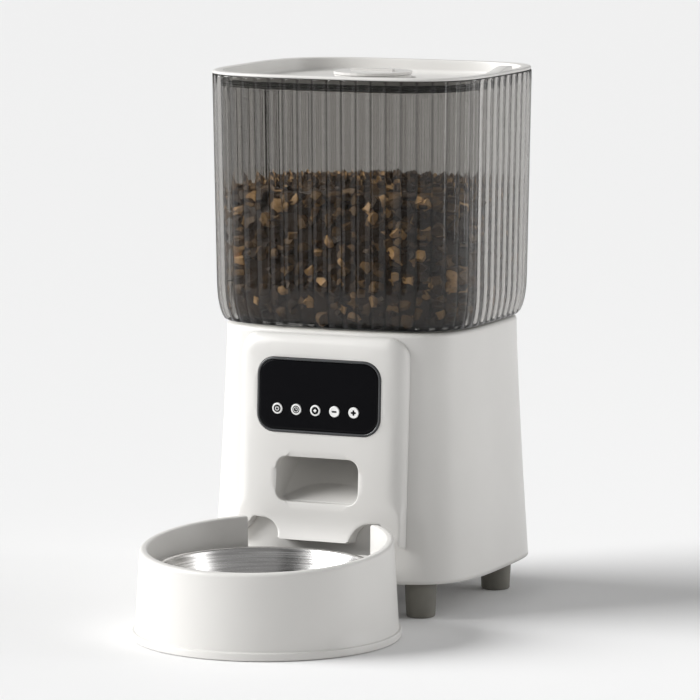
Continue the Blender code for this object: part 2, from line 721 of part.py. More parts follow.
def gear_tip(teeth):
    return (teeth / 2 + GEAR_ADDENDUM) * GEAR_MODULE


def gear_outline(teeth, x, y, turn):
    """Trapezoid teeth of one module, a little narrow, so that a pair runs free."""
    root_r = (teeth / 2 - GEAR_DEDENDUM) * GEAR_MODULE
    step = 2 * math.pi / teeth
    points = []
    for i in range(teeth):
        middle = turn + i * step
        for share, radius in (
            (-TOOTH_ROOT_SHARE, root_r),
            (-TOOTH_TIP_SHARE, gear_tip(teeth)),
            (TOOTH_TIP_SHARE, gear_tip(teeth)),
            (TOOTH_ROOT_SHARE, root_r),
        ):
            angle = middle + share * step
            points.append((x + radius * math.cos(angle), y + radius * math.sin(angle)))
    return points


def lug_places():
    y = BASE_Y + GEAR_DISTANCE + LUG_BEHIND
    return {"left": (-LUG_X, y), "right": (LUG_X, y)}


def make_drum():
    outer = DRUM_R + DRUM_WALL
    top = BASE_TOP_Z - BASE_WALL - TOUCH_GAP
    floor = DRUM_FLOOR_Z
    profile = [
        (DRUM_R, top),
        (outer + DRUM_FLANGE, top),
        (outer + DRUM_FLANGE, top - DRUM_WALL),
        (outer, top - DRUM_WALL),
        (outer, floor),
        (SHAFT_R + SHAFT_GAP, floor),
        (SHAFT_R + SHAFT_GAP, floor + DRUM_WALL),
        (DRUM_R, floor + DRUM_WALL),
        (DRUM_R, top),
    ]
    drum = turned("rotor_housing", profile, (0, BASE_Y), INNER, 36)
    outlet = rod(
        "drum_outlet", (0, BASE_Y - OUTLET_OFFSET), floor - MARGIN, floor + MARGIN, OUTLET_R
    )
    pilot_r = SCREW_R + TOUCH_GAP
    for name, place in lug_places().items():
        lug = rod(f"lug_{name}", place, BRACKET_TOP_Z + TOUCH_GAP, floor + OVERCUT, LUG_R, sides=16)
        pilot = rod(f"lug_pilot_{name}", place, BRACKET_TOP_Z - OVERCUT, floor - OVERCUT, pilot_r, sides=12)
        join(drum, lug)
        cut(drum, pilot)
    return cut(drum, outlet)


def make_baffle():
    """A roof over the outlet, so that only the wheel's pockets pass food."""
    low = ROTOR_LOW_Z + ROTOR_HEIGHT + BAFFLE_GAP
    start = 270 - BAFFLE_HALF_ANGLE
    end = 270 + BAFFLE_HALF_ANGLE
    sector = arc(0, BASE_Y, DRUM_R - TOUCH_GAP, start, end, 12)
    sector += arc(0, BASE_Y, ROTOR_HUB_R + BAFFLE_HUB_GAP, end, start, 6)
    return extruded("outlet_baffle", sector, low, low + BAFFLE_SHEET, INNER)


def make_rotor():
    low = ROTOR_LOW_Z
    high = low + ROTOR_HEIGHT
    step = 2 * math.pi / ROTOR_VANES
    reach = DRUM_R - ROTOR_TIP_GAP
    outline = []
    for i in range(ROTOR_VANES):
        middle = math.radians(90) + (i + 0.5) * step
        along = Vector((math.cos(middle), math.sin(middle)))
        aside = Vector((-along.y, along.x)) * VANE_HALF_SHEET
        root = along * (ROTOR_HUB_R - OVERCUT)
        tip = along * reach
        outline += [tuple(root - aside), tuple(tip - aside), tuple(tip + aside), tuple(root + aside)]
        outline += arc(0, 0, ROTOR_HUB_R, math.degrees(middle) + 18, math.degrees(middle) + 54, 4)
    outline = [(x, y + BASE_Y) for x, y in outline]
    wheel = extruded("portion_wheel", outline, low, high, GEARS)
    shaft = rod(
        "wheel_shaft", (0, BASE_Y), GEAR_TOP_Z - GEAR_SHEET - OVERCUT, low + MARGIN, SHAFT_R, sides=48
    )
    return join(wheel, shaft)


def make_agitator():
    """A cap on the wheel's hub with two arms that stir the food in the tank's neck."""
    low = ROTOR_LOW_Z + ROTOR_HEIGHT + TOUCH_GAP
    profile = [(radius, low + z) for radius, z in AGITATOR_PROFILE]
    cap = turned("agitator", profile, (0, BASE_Y), RUBBER, 24)
    reach = NECK_R - TANK_WALL - AGITATOR_ARM_END_GAP
    arm_low = low + AGITATOR_ARM_Z
    arms = box(
        "agitator_arms",
        (-reach, BASE_Y - AGITATOR_ARM_HALF, arm_low),
        (reach, BASE_Y + AGITATOR_ARM_HALF, arm_low + AGITATOR_ARM_HEIGHT),
    )
    return join(cap, arms)


def make_gears():
    top = GEAR_TOP_Z
    low = top - GEAR_SHEET
    half_step = math.pi / DRIVE_TEETH
    drive = extruded("drive_gear", gear_outline(DRIVE_TEETH, 0, BASE_Y, half_step), low, top, GEARS)
    bore_reach = (low - OVERCUT, top + OVERCUT)
    cut(drive, rod("drive_bore", (0, BASE_Y), *bore_reach, SHAFT_R + TOUCH_GAP, sides=48))
    y = BASE_Y + GEAR_DISTANCE
    pinion = extruded("motor_pinion", gear_outline(PINION_TEETH, 0, y, 0), low, top, GEARS)
    cut(pinion, rod("pinion_bore", (0, y), *bore_reach, PINION_BORE_R, sides=24))


def make_motor():
    y = BASE_Y + GEAR_DISTANCE
    high = BRACKET_TOP_Z - BRACKET_SHEET - TOUCH_GAP
    motor = box(
        "gear_motor",
        (-GEARBOX_HALF_WIDTH, y - GEARBOX_FRONT, high - GEARBOX_HEIGHT),
        (GEARBOX_HALF_WIDTH, y + GEARBOX_REAR, high),
        METAL,
    )
    can_top = high - GEARBOX_HEIGHT
    can = rod(
        "motor_can", (0, y), can_top - MOTOR_CAN_LENGTH, can_top + OVERCUT, MOTOR_CAN_R, sides=28
    )
    shaft_reach = (high - OVERCUT, GEAR_TOP_Z - OVERCUT)
    shaft = rod("motor_shaft", (0, y), *shaft_reach, MOTOR_SHAFT_R, sides=16)
    join(motor, can, shaft)
    low = BRACKET_TOP_Z - BRACKET_SHEET
    plate = box(
        "motor_bracket",
        (-BRACKET_HALF_WIDTH, y - GEARBOX_FRONT, low),
        (BRACKET_HALF_WIDTH, y + BRACKET_REAR, BRACKET_TOP_Z),
        METAL,
    )
    hole_reach = (low - OVERCUT, BRACKET_TOP_Z + OVERCUT)
    cut(plate, rod("bracket_hole", (0, y), *hole_reach, BRACKET_HOLE_R))
    for name, place in lug_places().items():
        cut(plate, rod(f"bracket_hole_{name}", place, *hole_reach, SCREW_R + TOUCH_GAP, sides=16))
        make_screw(f"motor_screw_{name}", place, low - TOUCH_GAP)


def make_screw(name, place, seat):
    """A screw driven upwards, its head's top against seat."""
    profile = [
        (0, seat + SCREW_LENGTH),
        (SCREW_R, seat + SCREW_LENGTH - SCREW_R),
        (SCREW_R, seat),
        (SCREW_HEAD_R, seat),
        (SCREW_HEAD_R, seat - 0.6 * SCREW_HEAD),
        (0.6 * SCREW_HEAD_R, seat - SCREW_HEAD),
        (0, seat - SCREW_HEAD),
    ]
    return turned(name, profile, place, METAL, 16)


# ---------------------------------------------------------------- underside
def foot_places():
    """Each foot's place, as shares of the base's half width and half depth at its bottom."""
    front_x, front_y_share = FOOT_FRONT_SHARE
    rear_x, rear_y_share = FOOT_REAR_SHARE
    front = BASE_Y - BASE_FOOT_HALF_DEPTH * front_y_share
    rear = BASE_Y + BASE_FOOT_HALF_DEPTH * rear_y_share
    return {
        "front_left": (-BASE_FOOT_HALF_WIDTH * front_x, front),
        "front_right": (BASE_FOOT_HALF_WIDTH * front_x, front),
        "rear_left": (-BASE_FOOT_HALF_WIDTH * rear_x, rear),
        "rear_right": (BASE_FOOT_HALF_WIDTH * rear_x, rear),
    }


def screw_places():
    x = BASE_FOOT_HALF_WIDTH * POST_SHARE[0]
    y = BASE_FOOT_HALF_DEPTH * POST_SHARE[1]
    return {
        "front_left": (-x, BASE_Y - y),
        "front_right": (x, BASE_Y - y),
        "rear_left": (-x, BASE_Y + y),
        "rear_right": (x, BASE_Y + y),
    }


def make_feet():
    for name, place in foot_places().items():
        profile = [
            (0, BASE_BOTTOM_Z + PEG_LENGTH),
            (PEG_R, BASE_BOTTOM_Z + PEG_LENGTH),
            (PEG_R, BASE_BOTTOM_Z),
            (FOOT_TOP_R, BASE_BOTTOM_Z),
            (FOOT_BOTTOM_R, FOOT_CHAMFER),
            (FOOT_BOTTOM_R - FOOT_CHAMFER, 0),
            (0, 0),
        ]
        turned(f"foot_{name}", profile, place, TAUPE, 32)


def bay_box():
    """The battery bay's inside."""
    rear = BASE_Y + BASE_FOOT_HALF_DEPTH - BAY_REAR_SETBACK
    low = (-BAY_HALF_WIDTH, rear - BAY_DEPTH, PLATE_TOP_Z + TOUCH_GAP)
    high = (BAY_HALF_WIDTH, rear, PLATE_TOP_Z + TOUCH_GAP + BAY_HEIGHT)
    return low, high


def door_rail(side, low, high):
    """A rail beside the battery door, with a shelf under the door's edge."""
    near = side * (BAY_HALF_WIDTH + DOOR_OVERLAP + SLIDE_GAP)
    outer = near + side * RAIL_SHEET
    shelf = side * BAY_HALF_WIDTH
    shelf_z = BASE_BOTTOM_Z - DOOR_SHEET - 2 * SLIDE_GAP
    top = BASE_BOTTOM_Z + TOUCH_GAP + OVERCUT
    section = [
        (near, top),
        (near, shelf_z),
        (shelf, shelf_z),
        (shelf, shelf_z - RAIL_SHELF),
        (outer, shelf_z - RAIL_SHELF),
        (outer, top),
    ]
    return extruded(f"door_rail_{side}", section, low[1] - DOOR_OVERLAP, high[1], axis="Y")


def make_base_plate():
    inset = BASE_WALL + SLIDE_GAP
    low_z = BASE_BOTTOM_Z + TOUCH_GAP
    outline = squircle(
        base_half_width(PLATE_TOP_Z) - inset, base_half_depth(PLATE_TOP_Z) - inset, 0, count=32
    )
    plate = extruded("base_plate", [(p[0], p[1]) for p in outline], low_z, PLATE_TOP_Z, WHITE)
    low, high = bay_box()
    cut(plate, box("plate_bay_hole", (low[0], low[1], 0), high))
    top = PLATE_TOP_Z + OVERCUT
    for name, place in foot_places().items():
        cut(plate, rod(f"peg_hole_{name}", place, 0, top, PEG_R + TOUCH_GAP, sides=16))
    for name, place in screw_places().items():
        cut(plate, rod(f"plate_hole_{name}", place, 0, top, SCREW_R + TOUCH_GAP, sides=12))
    front = BASE_Y - BASE_FOOT_HALF_DEPTH + 2 * inset
    for side in (-1, 1):
        near = side * (TONGUE_HALF_WIDTH + SLIDE_GAP)
        far = near + side * GUIDE_SHEET
        guide = box(
            f"tongue_guide_{side}",
            (min(near, far), front, BASE_BOTTOM_Z - TONGUE_SHEET),
            (max(near, far), front + TONGUE_REACH, low_z + OVERCUT),
        )
        join(plate, guide, door_rail(side, low, high))
    return plate


def make_base_screws():
    for name, place in screw_places().items():
        make_screw(f"base_screw_{name}", place, BASE_BOTTOM_Z)


def make_battery_bay():
    low, high = bay_box()
    wall = BAY_WALL
    bay = box(
        "battery_box",
        (low[0] - wall, low[1] - wall, low[2]),
        (high[0] + wall, high[1] + wall, high[2] + wall),
        INNER,
    )
    cut(bay, box("bay_hollow", (low[0], low[1], low[2] - OVERCUT), high))
    for name, side in (("negative", -1), ("positive", 1)):
        outer = side * (BAY_HALF_WIDTH - TOUCH_GAP)
        inner = outer - side * CONTACT_SHEET
        box(
            f"battery_contact_{name}",
            (min(outer, inner), low[1] + CONTACT_END_GAP, low[2] + CONTACT_EDGE_GAP),
            (max(outer, inner), high[1] - CONTACT_END_GAP, high[2] - CONTACT_EDGE_GAP),
            METAL,
        )
    half = BAY_HALF_WIDTH + DOOR_OVERLAP
    top = BASE_BOTTOM_Z - SLIDE_GAP
    under = top - DOOR_SHEET
    door = box(
        "battery_door",
        (-half, low[1] - DOOR_OVERLAP, under),
        (half, high[1] + DOOR_OVERLAP, top),
        WHITE,
    )
    for i in range(GROOVE_COUNT):
        y = high[1] - GROOVE_PITCH * (i + 1)
        groove = box(
            f"door_groove_{i}",
            (-GROOVE_HALF_LENGTH, y, under - OVERCUT),
            (GROOVE_HALF_LENGTH, y + GROOVE_WIDTH, under + GROOVE_DEPTH),
        )
        cut(door, groove)


def make_socket():
    """A round low-voltage socket in the rear wall, with a pin in its bore."""
    wall_y = BASE_Y + base_half_depth(SOCKET_Z)
    flange_y = wall_y + SLIDE_GAP
    back = wall_y - SOCKET_LENGTH
    place = (0, SOCKET_Z)
    body = rod("power_socket", place, back, flange_y + OVERCUT, SOCKET_R, METAL, sides=32, axis="Y")
    flange_end = flange_y + SOCKET_FLANGE
    flange = rod("socket_flange", place, flange_y, flange_end, SOCKET_FLANGE_R, axis="Y")
    bore = rod(
        "socket_bore", place, back + SOCKET_FLOOR, flange_end + MARGIN, SOCKET_BORE_R, axis="Y"
    )
    pin_start = back + SOCKET_FLOOR - OVERCUT
    pin_end = wall_y - SOCKET_PIN_SETBACK
    pin = rod("socket_pin", place, pin_start, pin_end, SOCKET_PIN_R, sides=12, axis="Y")
    join(body, flange)
    cut(body, bore)
    return join(body, pin)


# ---------------------------------------------------------------- tank and lid
def tank_half(z):
    """The tank's outer half width and half depth at height z: a slight draft, then the rounded-in foot."""
    share = (TANK_RIM_Z - z) / (TANK_RIM_Z - TANK_FOOT_Z)
    inset = TANK_DRAFT * share
    below = max(0.0, (TANK_FOOT_Z + TANK_FOOT_HEIGHT - z) / TANK_FOOT_HEIGHT)
    inset += TANK_FOOT_INSET * (1 - math.sqrt(max(0.0, 1 - below * below * 0.96)))
    return TANK_RIM_HALF_WIDTH - inset, TANK_RIM_HALF_DEPTH - inset


def make_tank():
    cone_r = DECK_HOLE_R - TANK_FOOT_ROUND
    wide, deep = tank_half(TANK_FOOT_Z)
    share = TANK_FLOOR_SHARE
    rings = [
        squircle(NECK_R, NECK_R, TANK_FOOT_Z - NECK_DEPTH, power=2),
        squircle(NECK_R, NECK_R, BASE_TOP_Z - NECK_TOP_DROP, power=2),
        squircle(cone_r, cone_r, BASE_TOP_Z + SLIDE_GAP, power=2),
        squircle(share * wide, share * deep, TANK_FOOT_Z - SLIDE_GAP, power=2.6),
        squircle(wide - TANK_FOOT_ROUND, deep - TANK_FOOT_ROUND, TANK_FOOT_Z),
    ]
    foot = np.array((0.04, 0.18, 0.45, 1.0)) * TANK_FOOT_HEIGHT + TANK_FOOT_Z
    for z in list(foot) + list(np.linspace(foot[-1], TANK_RIM_Z, 3)[1:]):
        rings.append(squircle(*tank_half(z), z))
    return loft("tank", rings, SMOKE, wall=TANK_WALL)


def lid_half(inset, z=TANK_RIM_Z):
    wide, deep = tank_half(z)
    return wide - inset, deep - inset


def make_lid():
    """A tray sunk into the tank, whose flange lies on the rim, with a ramp for a finger on the right."""
    skirt = TANK_WALL + LID_SEAL_ROOM
    under = TANK_RIM_Z - LID_SINK
    seat = TANK_RIM_Z + TOUCH_GAP
    rings = [
        squircle(*lid_half(skirt + LID_BEND), under),
        squircle(*lid_half(skirt + 0.2 * LID_BEND), under + 0.2 * LID_BEND),
        squircle(*lid_half(skirt), under + 0.6 * LID_BEND),
        squircle(*lid_half(skirt), seat),
        squircle(*lid_half(LID_EDGE_GAP), seat),
    ]
    lid = loft("lid", rings, WHITE, wall=LID_SHEET, cap_first=True)
    hole_r = DESICCANT_R + TOUCH_GAP
    cut(lid, rod("lid_hole", (0, BASE_Y), under - OVERCUT, seat, hole_r, sides=32))
    wide = lid_half(0)[0]
    top = seat + LID_SHEET
    start = BASE_Y - TAB_LENGTH / 2
    end = start + TAB_LENGTH
    sunk = top - OVERCUT
    crest = top + TAB_RISE
    ramp = [(start, sunk), (end, sunk), (end, crest), (end - TAB_FLAT, crest)]
    return join(lid, extruded("lid_tab", ramp, wide - TAB_WIDTH, wide - TAB_EDGE, axis="X"))


def make_lid_seal():
    outer = TANK_WALL + TOUCH_GAP
    inner = TANK_WALL + LID_SEAL_ROOM - TOUCH_GAP
    low = TANK_RIM_Z - LID_SINK + SEAL_RISE
    high = low + SEAL_HEIGHT
    rings = [
        squircle(*lid_half(outer, low), low),
        squircle(*lid_half(outer, high), high),
        squircle(*lid_half(inner), high),
        squircle(*lid_half(inner), low),
    ]
    return loft("lid_seal", rings, RUBBER, loop=True)


def make_desiccant():
    """A round cup in the lid's floor for a drying sachet. Its own floor is slotted towards the food, and
    its cover lies below the lid's flange."""
    tray_top = TANK_RIM_Z - LID_SINK + LID_SHEET
    low = TANK_RIM_Z - LID_SINK - DESICCANT_DROP
    inside = DESICCANT_R - DESICCANT_WALL
    floor = low + DESICCANT_WALL
    top = low + DESICCANT_HEIGHT
    seat = tray_top + TOUCH_GAP
    brim = DESICCANT_R + DESICCANT_FLANGE
    brim_top = seat + DESICCANT_WALL
    profile = [(0, floor), (inside, floor), (inside, top), (DESICCANT_R, top), (DESICCANT_R, brim_top)]
    profile += [(brim, brim_top), (brim, seat), (DESICCANT_R, seat), (DESICCANT_R, low), (0, low)]
    cup = turned("desiccant_box", profile, (0, BASE_Y), WHITE, 32)
    for i in (-1, 0, 1):
        x = i * DESICCANT_SLOT_PITCH
        half = math.sqrt((0.8 * DESICCANT_R) ** 2 - x * x)
        slot = box(
            f"desiccant_slot_{i}",
            (x - DESICCANT_SLOT_HALF, BASE_Y - half, low - OVERCUT),
            (x + DESICCANT_SLOT_HALF, BASE_Y + half, floor + OVERCUT),
        )
        cut(cup, slot)
    cover_low = top + TOUCH_GAP
    cover_top = cover_low + DESICCANT_COVER_SHEET
    edge = DESICCANT_R + DESICCANT_COVER_LIP
    profile = [(0, cover_top), (edge, cover_top), (edge, cover_low), (0, cover_low)]
    cover = turned("desiccant_cover", profile, (0, BASE_Y), WHITE, 32)
    grip = box(
        "desiccant_grip",
        (-DESICCANT_GRIP_HALF_LENGTH, BASE_Y - DESICCANT_GRIP_HALF_WIDTH, cover_low + OVERCUT),
        (
            DESICCANT_GRIP_HALF_LENGTH,
            BASE_Y + DESICCANT_GRIP_HALF_WIDTH,
            cover_top + DESICCANT_GRIP_HEIGHT,
        ),
    )
    join(cover, grip)


# ---------------------------------------------------------------- bowl and holder
def holder_ring(radius, z, tilt=0.0):
    """A holder outline: a half circle in front and a longer half ellipse behind. tilt raises the rear."""
    turn = np.linspace(0, 2 * np.pi, HOLDER_POINTS, endpoint=False)
    stretch = np.where(np.sin(turn) > 0, radius + HOLDER_STRETCH, radius)
    y = stretch * np.sin(turn)
    share = (y + HOLDER_RIM_R) / (2 * HOLDER_RIM_R)
    return np.stack([radius * np.cos(turn), HOLDER_Y + y, z + tilt * share], axis=1)


def make_bowl_holder():
    rise = HOLDER_REAR_Z - HOLDER_FRONT_Z
    ledge_top = BOWL_RIM_Z - 2 * BOWL_SHEET - TOUCH_GAP
    ledge_low = ledge_top - LEDGE_SHEET
    hole = BOWL_RIM_R - BOWL_RIM_WIDTH + 2 * SLIDE_GAP
    inside = HOLDER_RIM_R - HOLDER_RIM_WALL
    skirt = HOLDER_SKIRT_WALL
    shoulder = HOLDER_FRONT_Z - HOLDER_RIM_ROUND
    rings = [
        holder_ring(FLANGE_R, 0.0),
        holder_ring(FLANGE_R, FLANGE_HEIGHT - FLANGE_PROUD / 2),
        holder_ring(HOLDER_BOTTOM_R, FLANGE_HEIGHT),
        holder_ring(HOLDER_RIM_R + TOUCH_GAP, shoulder, rise),
        holder_ring(HOLDER_RIM_R - 0.7 * HOLDER_RIM_ROUND, HOLDER_FRONT_Z, rise),
        holder_ring(inside + 0.7 * HOLDER_RIM_ROUND, HOLDER_FRONT_Z, rise),
        holder_ring(inside, shoulder, rise),
        holder_ring(inside - SLIDE_GAP, ledge_top),
        squircle(hole, hole, ledge_top, 2, HOLDER_POINTS, BOWL_Y),
        squircle(hole, hole, ledge_low, 2, HOLDER_POINTS, BOWL_Y),
        holder_ring(HOLDER_RIM_R - skirt, ledge_low),
        holder_ring(HOLDER_BOTTOM_R - skirt, 0.0),
    ]
    holder = loft("bowl_holder", rings, WHITE, loop=True)
    floor = [(p[0], p[1]) for p in holder_ring(HOLDER_BOTTOM_R - skirt / 2, 0.0)]
    floor_z = GRIP_RING_HEIGHT + TOUCH_GAP
    floor_plate = extruded("holder_floor", floor, floor_z, floor_z + HOLDER_FLOOR)
    join(holder, floor_plate, solver="MANIFOLD")
    limit = BASE_Y - BASE_FOOT_HALF_DEPTH - HOLDER_BACK_GAP
    wide = FLANGE_R + MARGIN
    above = HOLDER_REAR_Z + MARGIN
    trim = box("holder_back_trim", (-wide, limit, -MARGIN), (wide, BASE_Y, above))
    cut(holder, trim, solver="MANIFOLD")
    cover_front = front_y(0, COVER_FOOT_Z, COVER_PROUD)
    passage = box(
        "holder_passage",
        (-PASSAGE_HALF_WIDTH, cover_front - LIP_REACH - PASSAGE_LIP_GAP, COVER_FOOT_Z - PASSAGE_DROP),
        (PASSAGE_HALF_WIDTH, BASE_Y, above),
    )
    room = [(x * 1.01, z - 2 * SLIDE_GAP) for x, z in cover_outline()]
    cover_room = extruded("holder_cover_room", room, cover_front - SLIDE_GAP, BASE_Y, axis="Y")
    cut(holder, passage, cover_room, solver="MANIFOLD")
    web_half = TONGUE_HALF_WIDTH - OVERCUT
    web = box(
        "tongue_web",
        (-web_half, limit - TONGUE_WEB, floor_z + HOLDER_FLOOR / 2),
        (web_half, limit - OVERCUT, BASE_BOTTOM_Z - TONGUE_SHEET / 2),
    )
    tongue = box(
        "dock_tongue",
        (-TONGUE_HALF_WIDTH, limit - TONGUE_WEB - OVERCUT, BASE_BOTTOM_Z - TONGUE_SHEET),
        (TONGUE_HALF_WIDTH, limit + TONGUE_REACH, BASE_BOTTOM_Z - SLIDE_GAP),
    )
    return join(holder, web, tongue, solver="MANIFOLD")


def make_grip_ring():
    """A rubber ring under the holder, open at the back where the holder is cut off."""
    inner = GRIP_RING_R - GRIP_RING_WIDTH
    rings = [
        holder_ring(GRIP_RING_R, 0.0),
        holder_ring(GRIP_RING_R, GRIP_RING_HEIGHT),
        holder_ring(inner, GRIP_RING_HEIGHT),
        holder_ring(inner, 0.0),
    ]
    ring = loft("holder_grip_ring", rings, RUBBER, loop=True)
    limit = BASE_Y - BASE_FOOT_HALF_DEPTH - HOLDER_BACK_GAP - OVERCUT
    trim = box("grip_trim", (-FLANGE_R, limit, -OVERCUT), (FLANGE_R, BASE_Y, GRIP_RING_HEIGHT + OVERCUT))
    return cut(ring, trim)


def make_bowl():
    low = BOWL_RIM_Z - BOWL_DEPTH
    side = BOWL_RIM_R - BOWL_RIM_WIDTH
    sheet = BOWL_SHEET
    bend = BOWL_BEND_R
    outer = arc(BOWL_FLOOR_R, low + bend, bend, -5, -90, 5)
    inner = arc(BOWL_FLOOR_R, low + bend, bend - sheet, -90, -5, 5)
    profile = [
        (side - sheet, BOWL_RIM_Z),
        (BOWL_RIM_R, BOWL_RIM_Z),
        (BOWL_RIM_R, BOWL_RIM_Z - 2 * sheet),
        (side, BOWL_RIM_Z - 2 * sheet),
    ]
    profile += outer + [(0, low), (0, low + sheet)] + inner + [(side - sheet, BOWL_RIM_Z)]
    return turned("steel_bowl", profile, (0, BOWL_Y), STEEL, 44)


def main():
    make_base_shell()
    make_front_cover()
    make_display()
    make_chute()
    make_drum()
    make_baffle()
    make_rotor()
    make_agitator()
    make_gears()
    make_motor()
    make_feet()
    make_base_plate()
    make_base_screws()
    make_battery_bay()
    make_socket()
    make_tank()
    make_lid()
    make_lid_seal()
    make_desiccant()
    make_bowl_holder()
    make_grip_ring()
    make_bowl()


main()
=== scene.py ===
"""Automatic pet feeder: the fine surfaces, finishes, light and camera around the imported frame.

Lengths are in metres. +Z is up, the front with the bowl faces -Y, and +X is to the right from the front."""

import json
import math

import bmesh
import bpy
import numpy as np
from bpy.props import FloatProperty, FloatVectorProperty, IntProperty, PointerProperty
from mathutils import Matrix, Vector
from mathutils.geometry import delaunay_2d_cdt


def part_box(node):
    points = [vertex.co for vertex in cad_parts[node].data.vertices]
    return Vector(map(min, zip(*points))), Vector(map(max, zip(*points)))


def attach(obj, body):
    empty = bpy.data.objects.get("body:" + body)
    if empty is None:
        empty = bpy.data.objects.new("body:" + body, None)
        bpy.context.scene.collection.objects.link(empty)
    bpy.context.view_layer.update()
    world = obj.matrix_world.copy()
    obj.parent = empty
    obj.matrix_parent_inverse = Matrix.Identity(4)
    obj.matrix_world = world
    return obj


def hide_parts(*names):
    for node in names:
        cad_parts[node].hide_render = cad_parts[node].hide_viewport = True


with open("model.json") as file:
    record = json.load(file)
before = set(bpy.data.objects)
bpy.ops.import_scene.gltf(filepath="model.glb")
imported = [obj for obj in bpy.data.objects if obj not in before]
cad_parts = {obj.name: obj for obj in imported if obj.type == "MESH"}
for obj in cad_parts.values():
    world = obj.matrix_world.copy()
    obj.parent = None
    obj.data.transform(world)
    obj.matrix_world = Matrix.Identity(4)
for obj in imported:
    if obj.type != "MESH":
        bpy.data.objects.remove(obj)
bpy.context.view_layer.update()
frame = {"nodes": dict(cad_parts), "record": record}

bl_info = {
    "name": "Pet Feeder",
    "version": (1, 0, 0),
    "blender": (4, 5, 0),
    "location": "3D View > Sidebar > Pet Feeder",
    "description": "Builds the fine surfaces and finishes of an automatic pet feeder",
    "category": "Add Mesh",
}

MM = 0.001
GAP = 0.3 * MM
ON_AXIS = 0.02 * MM

# ---------------------------------------------------------------- places read from the frame
BASE_LOW, BASE_HIGH = (Vector(corner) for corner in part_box("base_shell"))
TANK_LOW, TANK_HIGH = (Vector(corner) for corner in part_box("tank"))
HOLDER_LOW, HOLDER_HIGH = (Vector(corner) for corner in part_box("bowl_holder"))
BOWL_LOW, BOWL_HIGH = (Vector(corner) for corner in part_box("steel_bowl"))
BASE_Y = (BASE_LOW.y + BASE_HIGH.y) / 2
BASE_BOTTOM_Z = 22 * MM
BASE_TOP_Z = BASE_HIGH.z
TANK_RIM_Z = 330 * MM
BOWL_Y = (BOWL_LOW.y + BOWL_HIGH.y) / 2
BOWL_R = (BOWL_HIGH.x - BOWL_LOW.x) / 2
FLANGE_R = HOLDER_HIGH.x
HOLDER_Y = HOLDER_LOW.y + FLANGE_R
HOLDER_RIM_R = 76 * MM
KEY_NAMES = ("power", "clock", "feed", "minus", "plus")
FEET = ("front_left", "front_right", "rear_left", "rear_right")


def length(name, description, default):
    """A property in metres."""
    return FloatProperty(name=name, description=description, default=default, unit="LENGTH", precision=4)


def colour(name, description, default):
    """A property that holds a colour."""
    return FloatVectorProperty(
        name=name, description=description, default=default, subtype="COLOR", min=0.0, max=1.0
    )


class BaseSizes(bpy.types.PropertyGroup):
    """Sizes of the base housing, the front cover and the chute."""

    flare_width: length("Flare in width", "How far each side stands out at the bottom", 7 * MM)
    flare_depth: length("Flare in depth", "How far front and back stand out at the bottom", 8 * MM)
    corner_power: FloatProperty(name="Corner power", description="Squareness of the outline", default=3.8)
    flare_power: FloatProperty(name="Flare power", description="Bend of the flare", default=1.3)
    wall: length("Wall", "Thickness of the housing", 2.5 * MM)
    top_round: length("Top rounding", "Radius of the housing's top edge", 3 * MM)
    deck_hole: length("Deck hole", "Radius of the hole for the tank's neck", 41 * MM)
    cover_proud: length("Cover height", "How far the cover stands out", 7 * MM)
    cover_half: length("Cover half width", "Half the width of the cover", 56 * MM)
    cover_round: length("Cover rounding", "Width of the rounded side and top edges", 9.5 * MM)
    lip_reach: length("Lip reach", "How far the tongue curves out over the bowl", 8 * MM)
    chute_width: length("Chute width", "Width of the mouth", 55 * MM)


class DisplaySizes(bpy.types.PropertyGroup):
    """Sizes of the display and its keys."""

    width: length("Width", "Width of the display with its frame", 83 * MM)
    height: length("Height", "Height of the display with its frame", 46.5 * MM)
    corner: length("Corner", "Radius of the display's corners", 11.5 * MM)
    frame_width: length("Frame width", "Width of the frame seen from the front", 1.6 * MM)
    key_radius: length("Key radius", "Radius of a key", 3.4 * MM)


class TankSizes(bpy.types.PropertyGroup):
    """Sizes of the tank, the lid and the food."""

    flutes: IntProperty(name="Flutes", description="Number of upright flutes round the tank", default=62)
    flute_depth: length("Flute depth", "Depth of the grooves between flutes", 1.1 * MM)
    wall: length("Wall", "Thickness of the tank", 2.4 * MM)
    draft: length("Draft", "How much narrower the tank is at its foot", 2.5 * MM)
    foot_inset: length("Foot inset", "How far the rounded foot draws in", 5.5 * MM)
    foot_height: length("Foot height", "Height of the rounded foot", 23 * MM)
    lid_sink: length("Lid sink", "How far the lid's tray lies under the rim", 8 * MM)
    food_level: length("Food level", "Height of the food's surface above the ground", 256 * MM)


class BowlSizes(bpy.types.PropertyGroup):
    """Sizes of the bowl and its holder."""

    stretch: length("Stretch", "How much longer the holder's rear half is", 6 * MM)
    front_z: length("Front height", "Height of the holder's rim at the front", 51 * MM)
    rear_z: length("Rear height", "Height of the holder's rim at the back", 62 * MM)
    rim_wall: length("Rim wall", "Thickness of the holder's rim", 5 * MM)
    bowl_depth: length("Bowl depth", "Depth of the bowl", 30 * MM)
    bowl_sheet: length("Bowl sheet", "Thickness of the bowl's steel", 0.9 * MM)


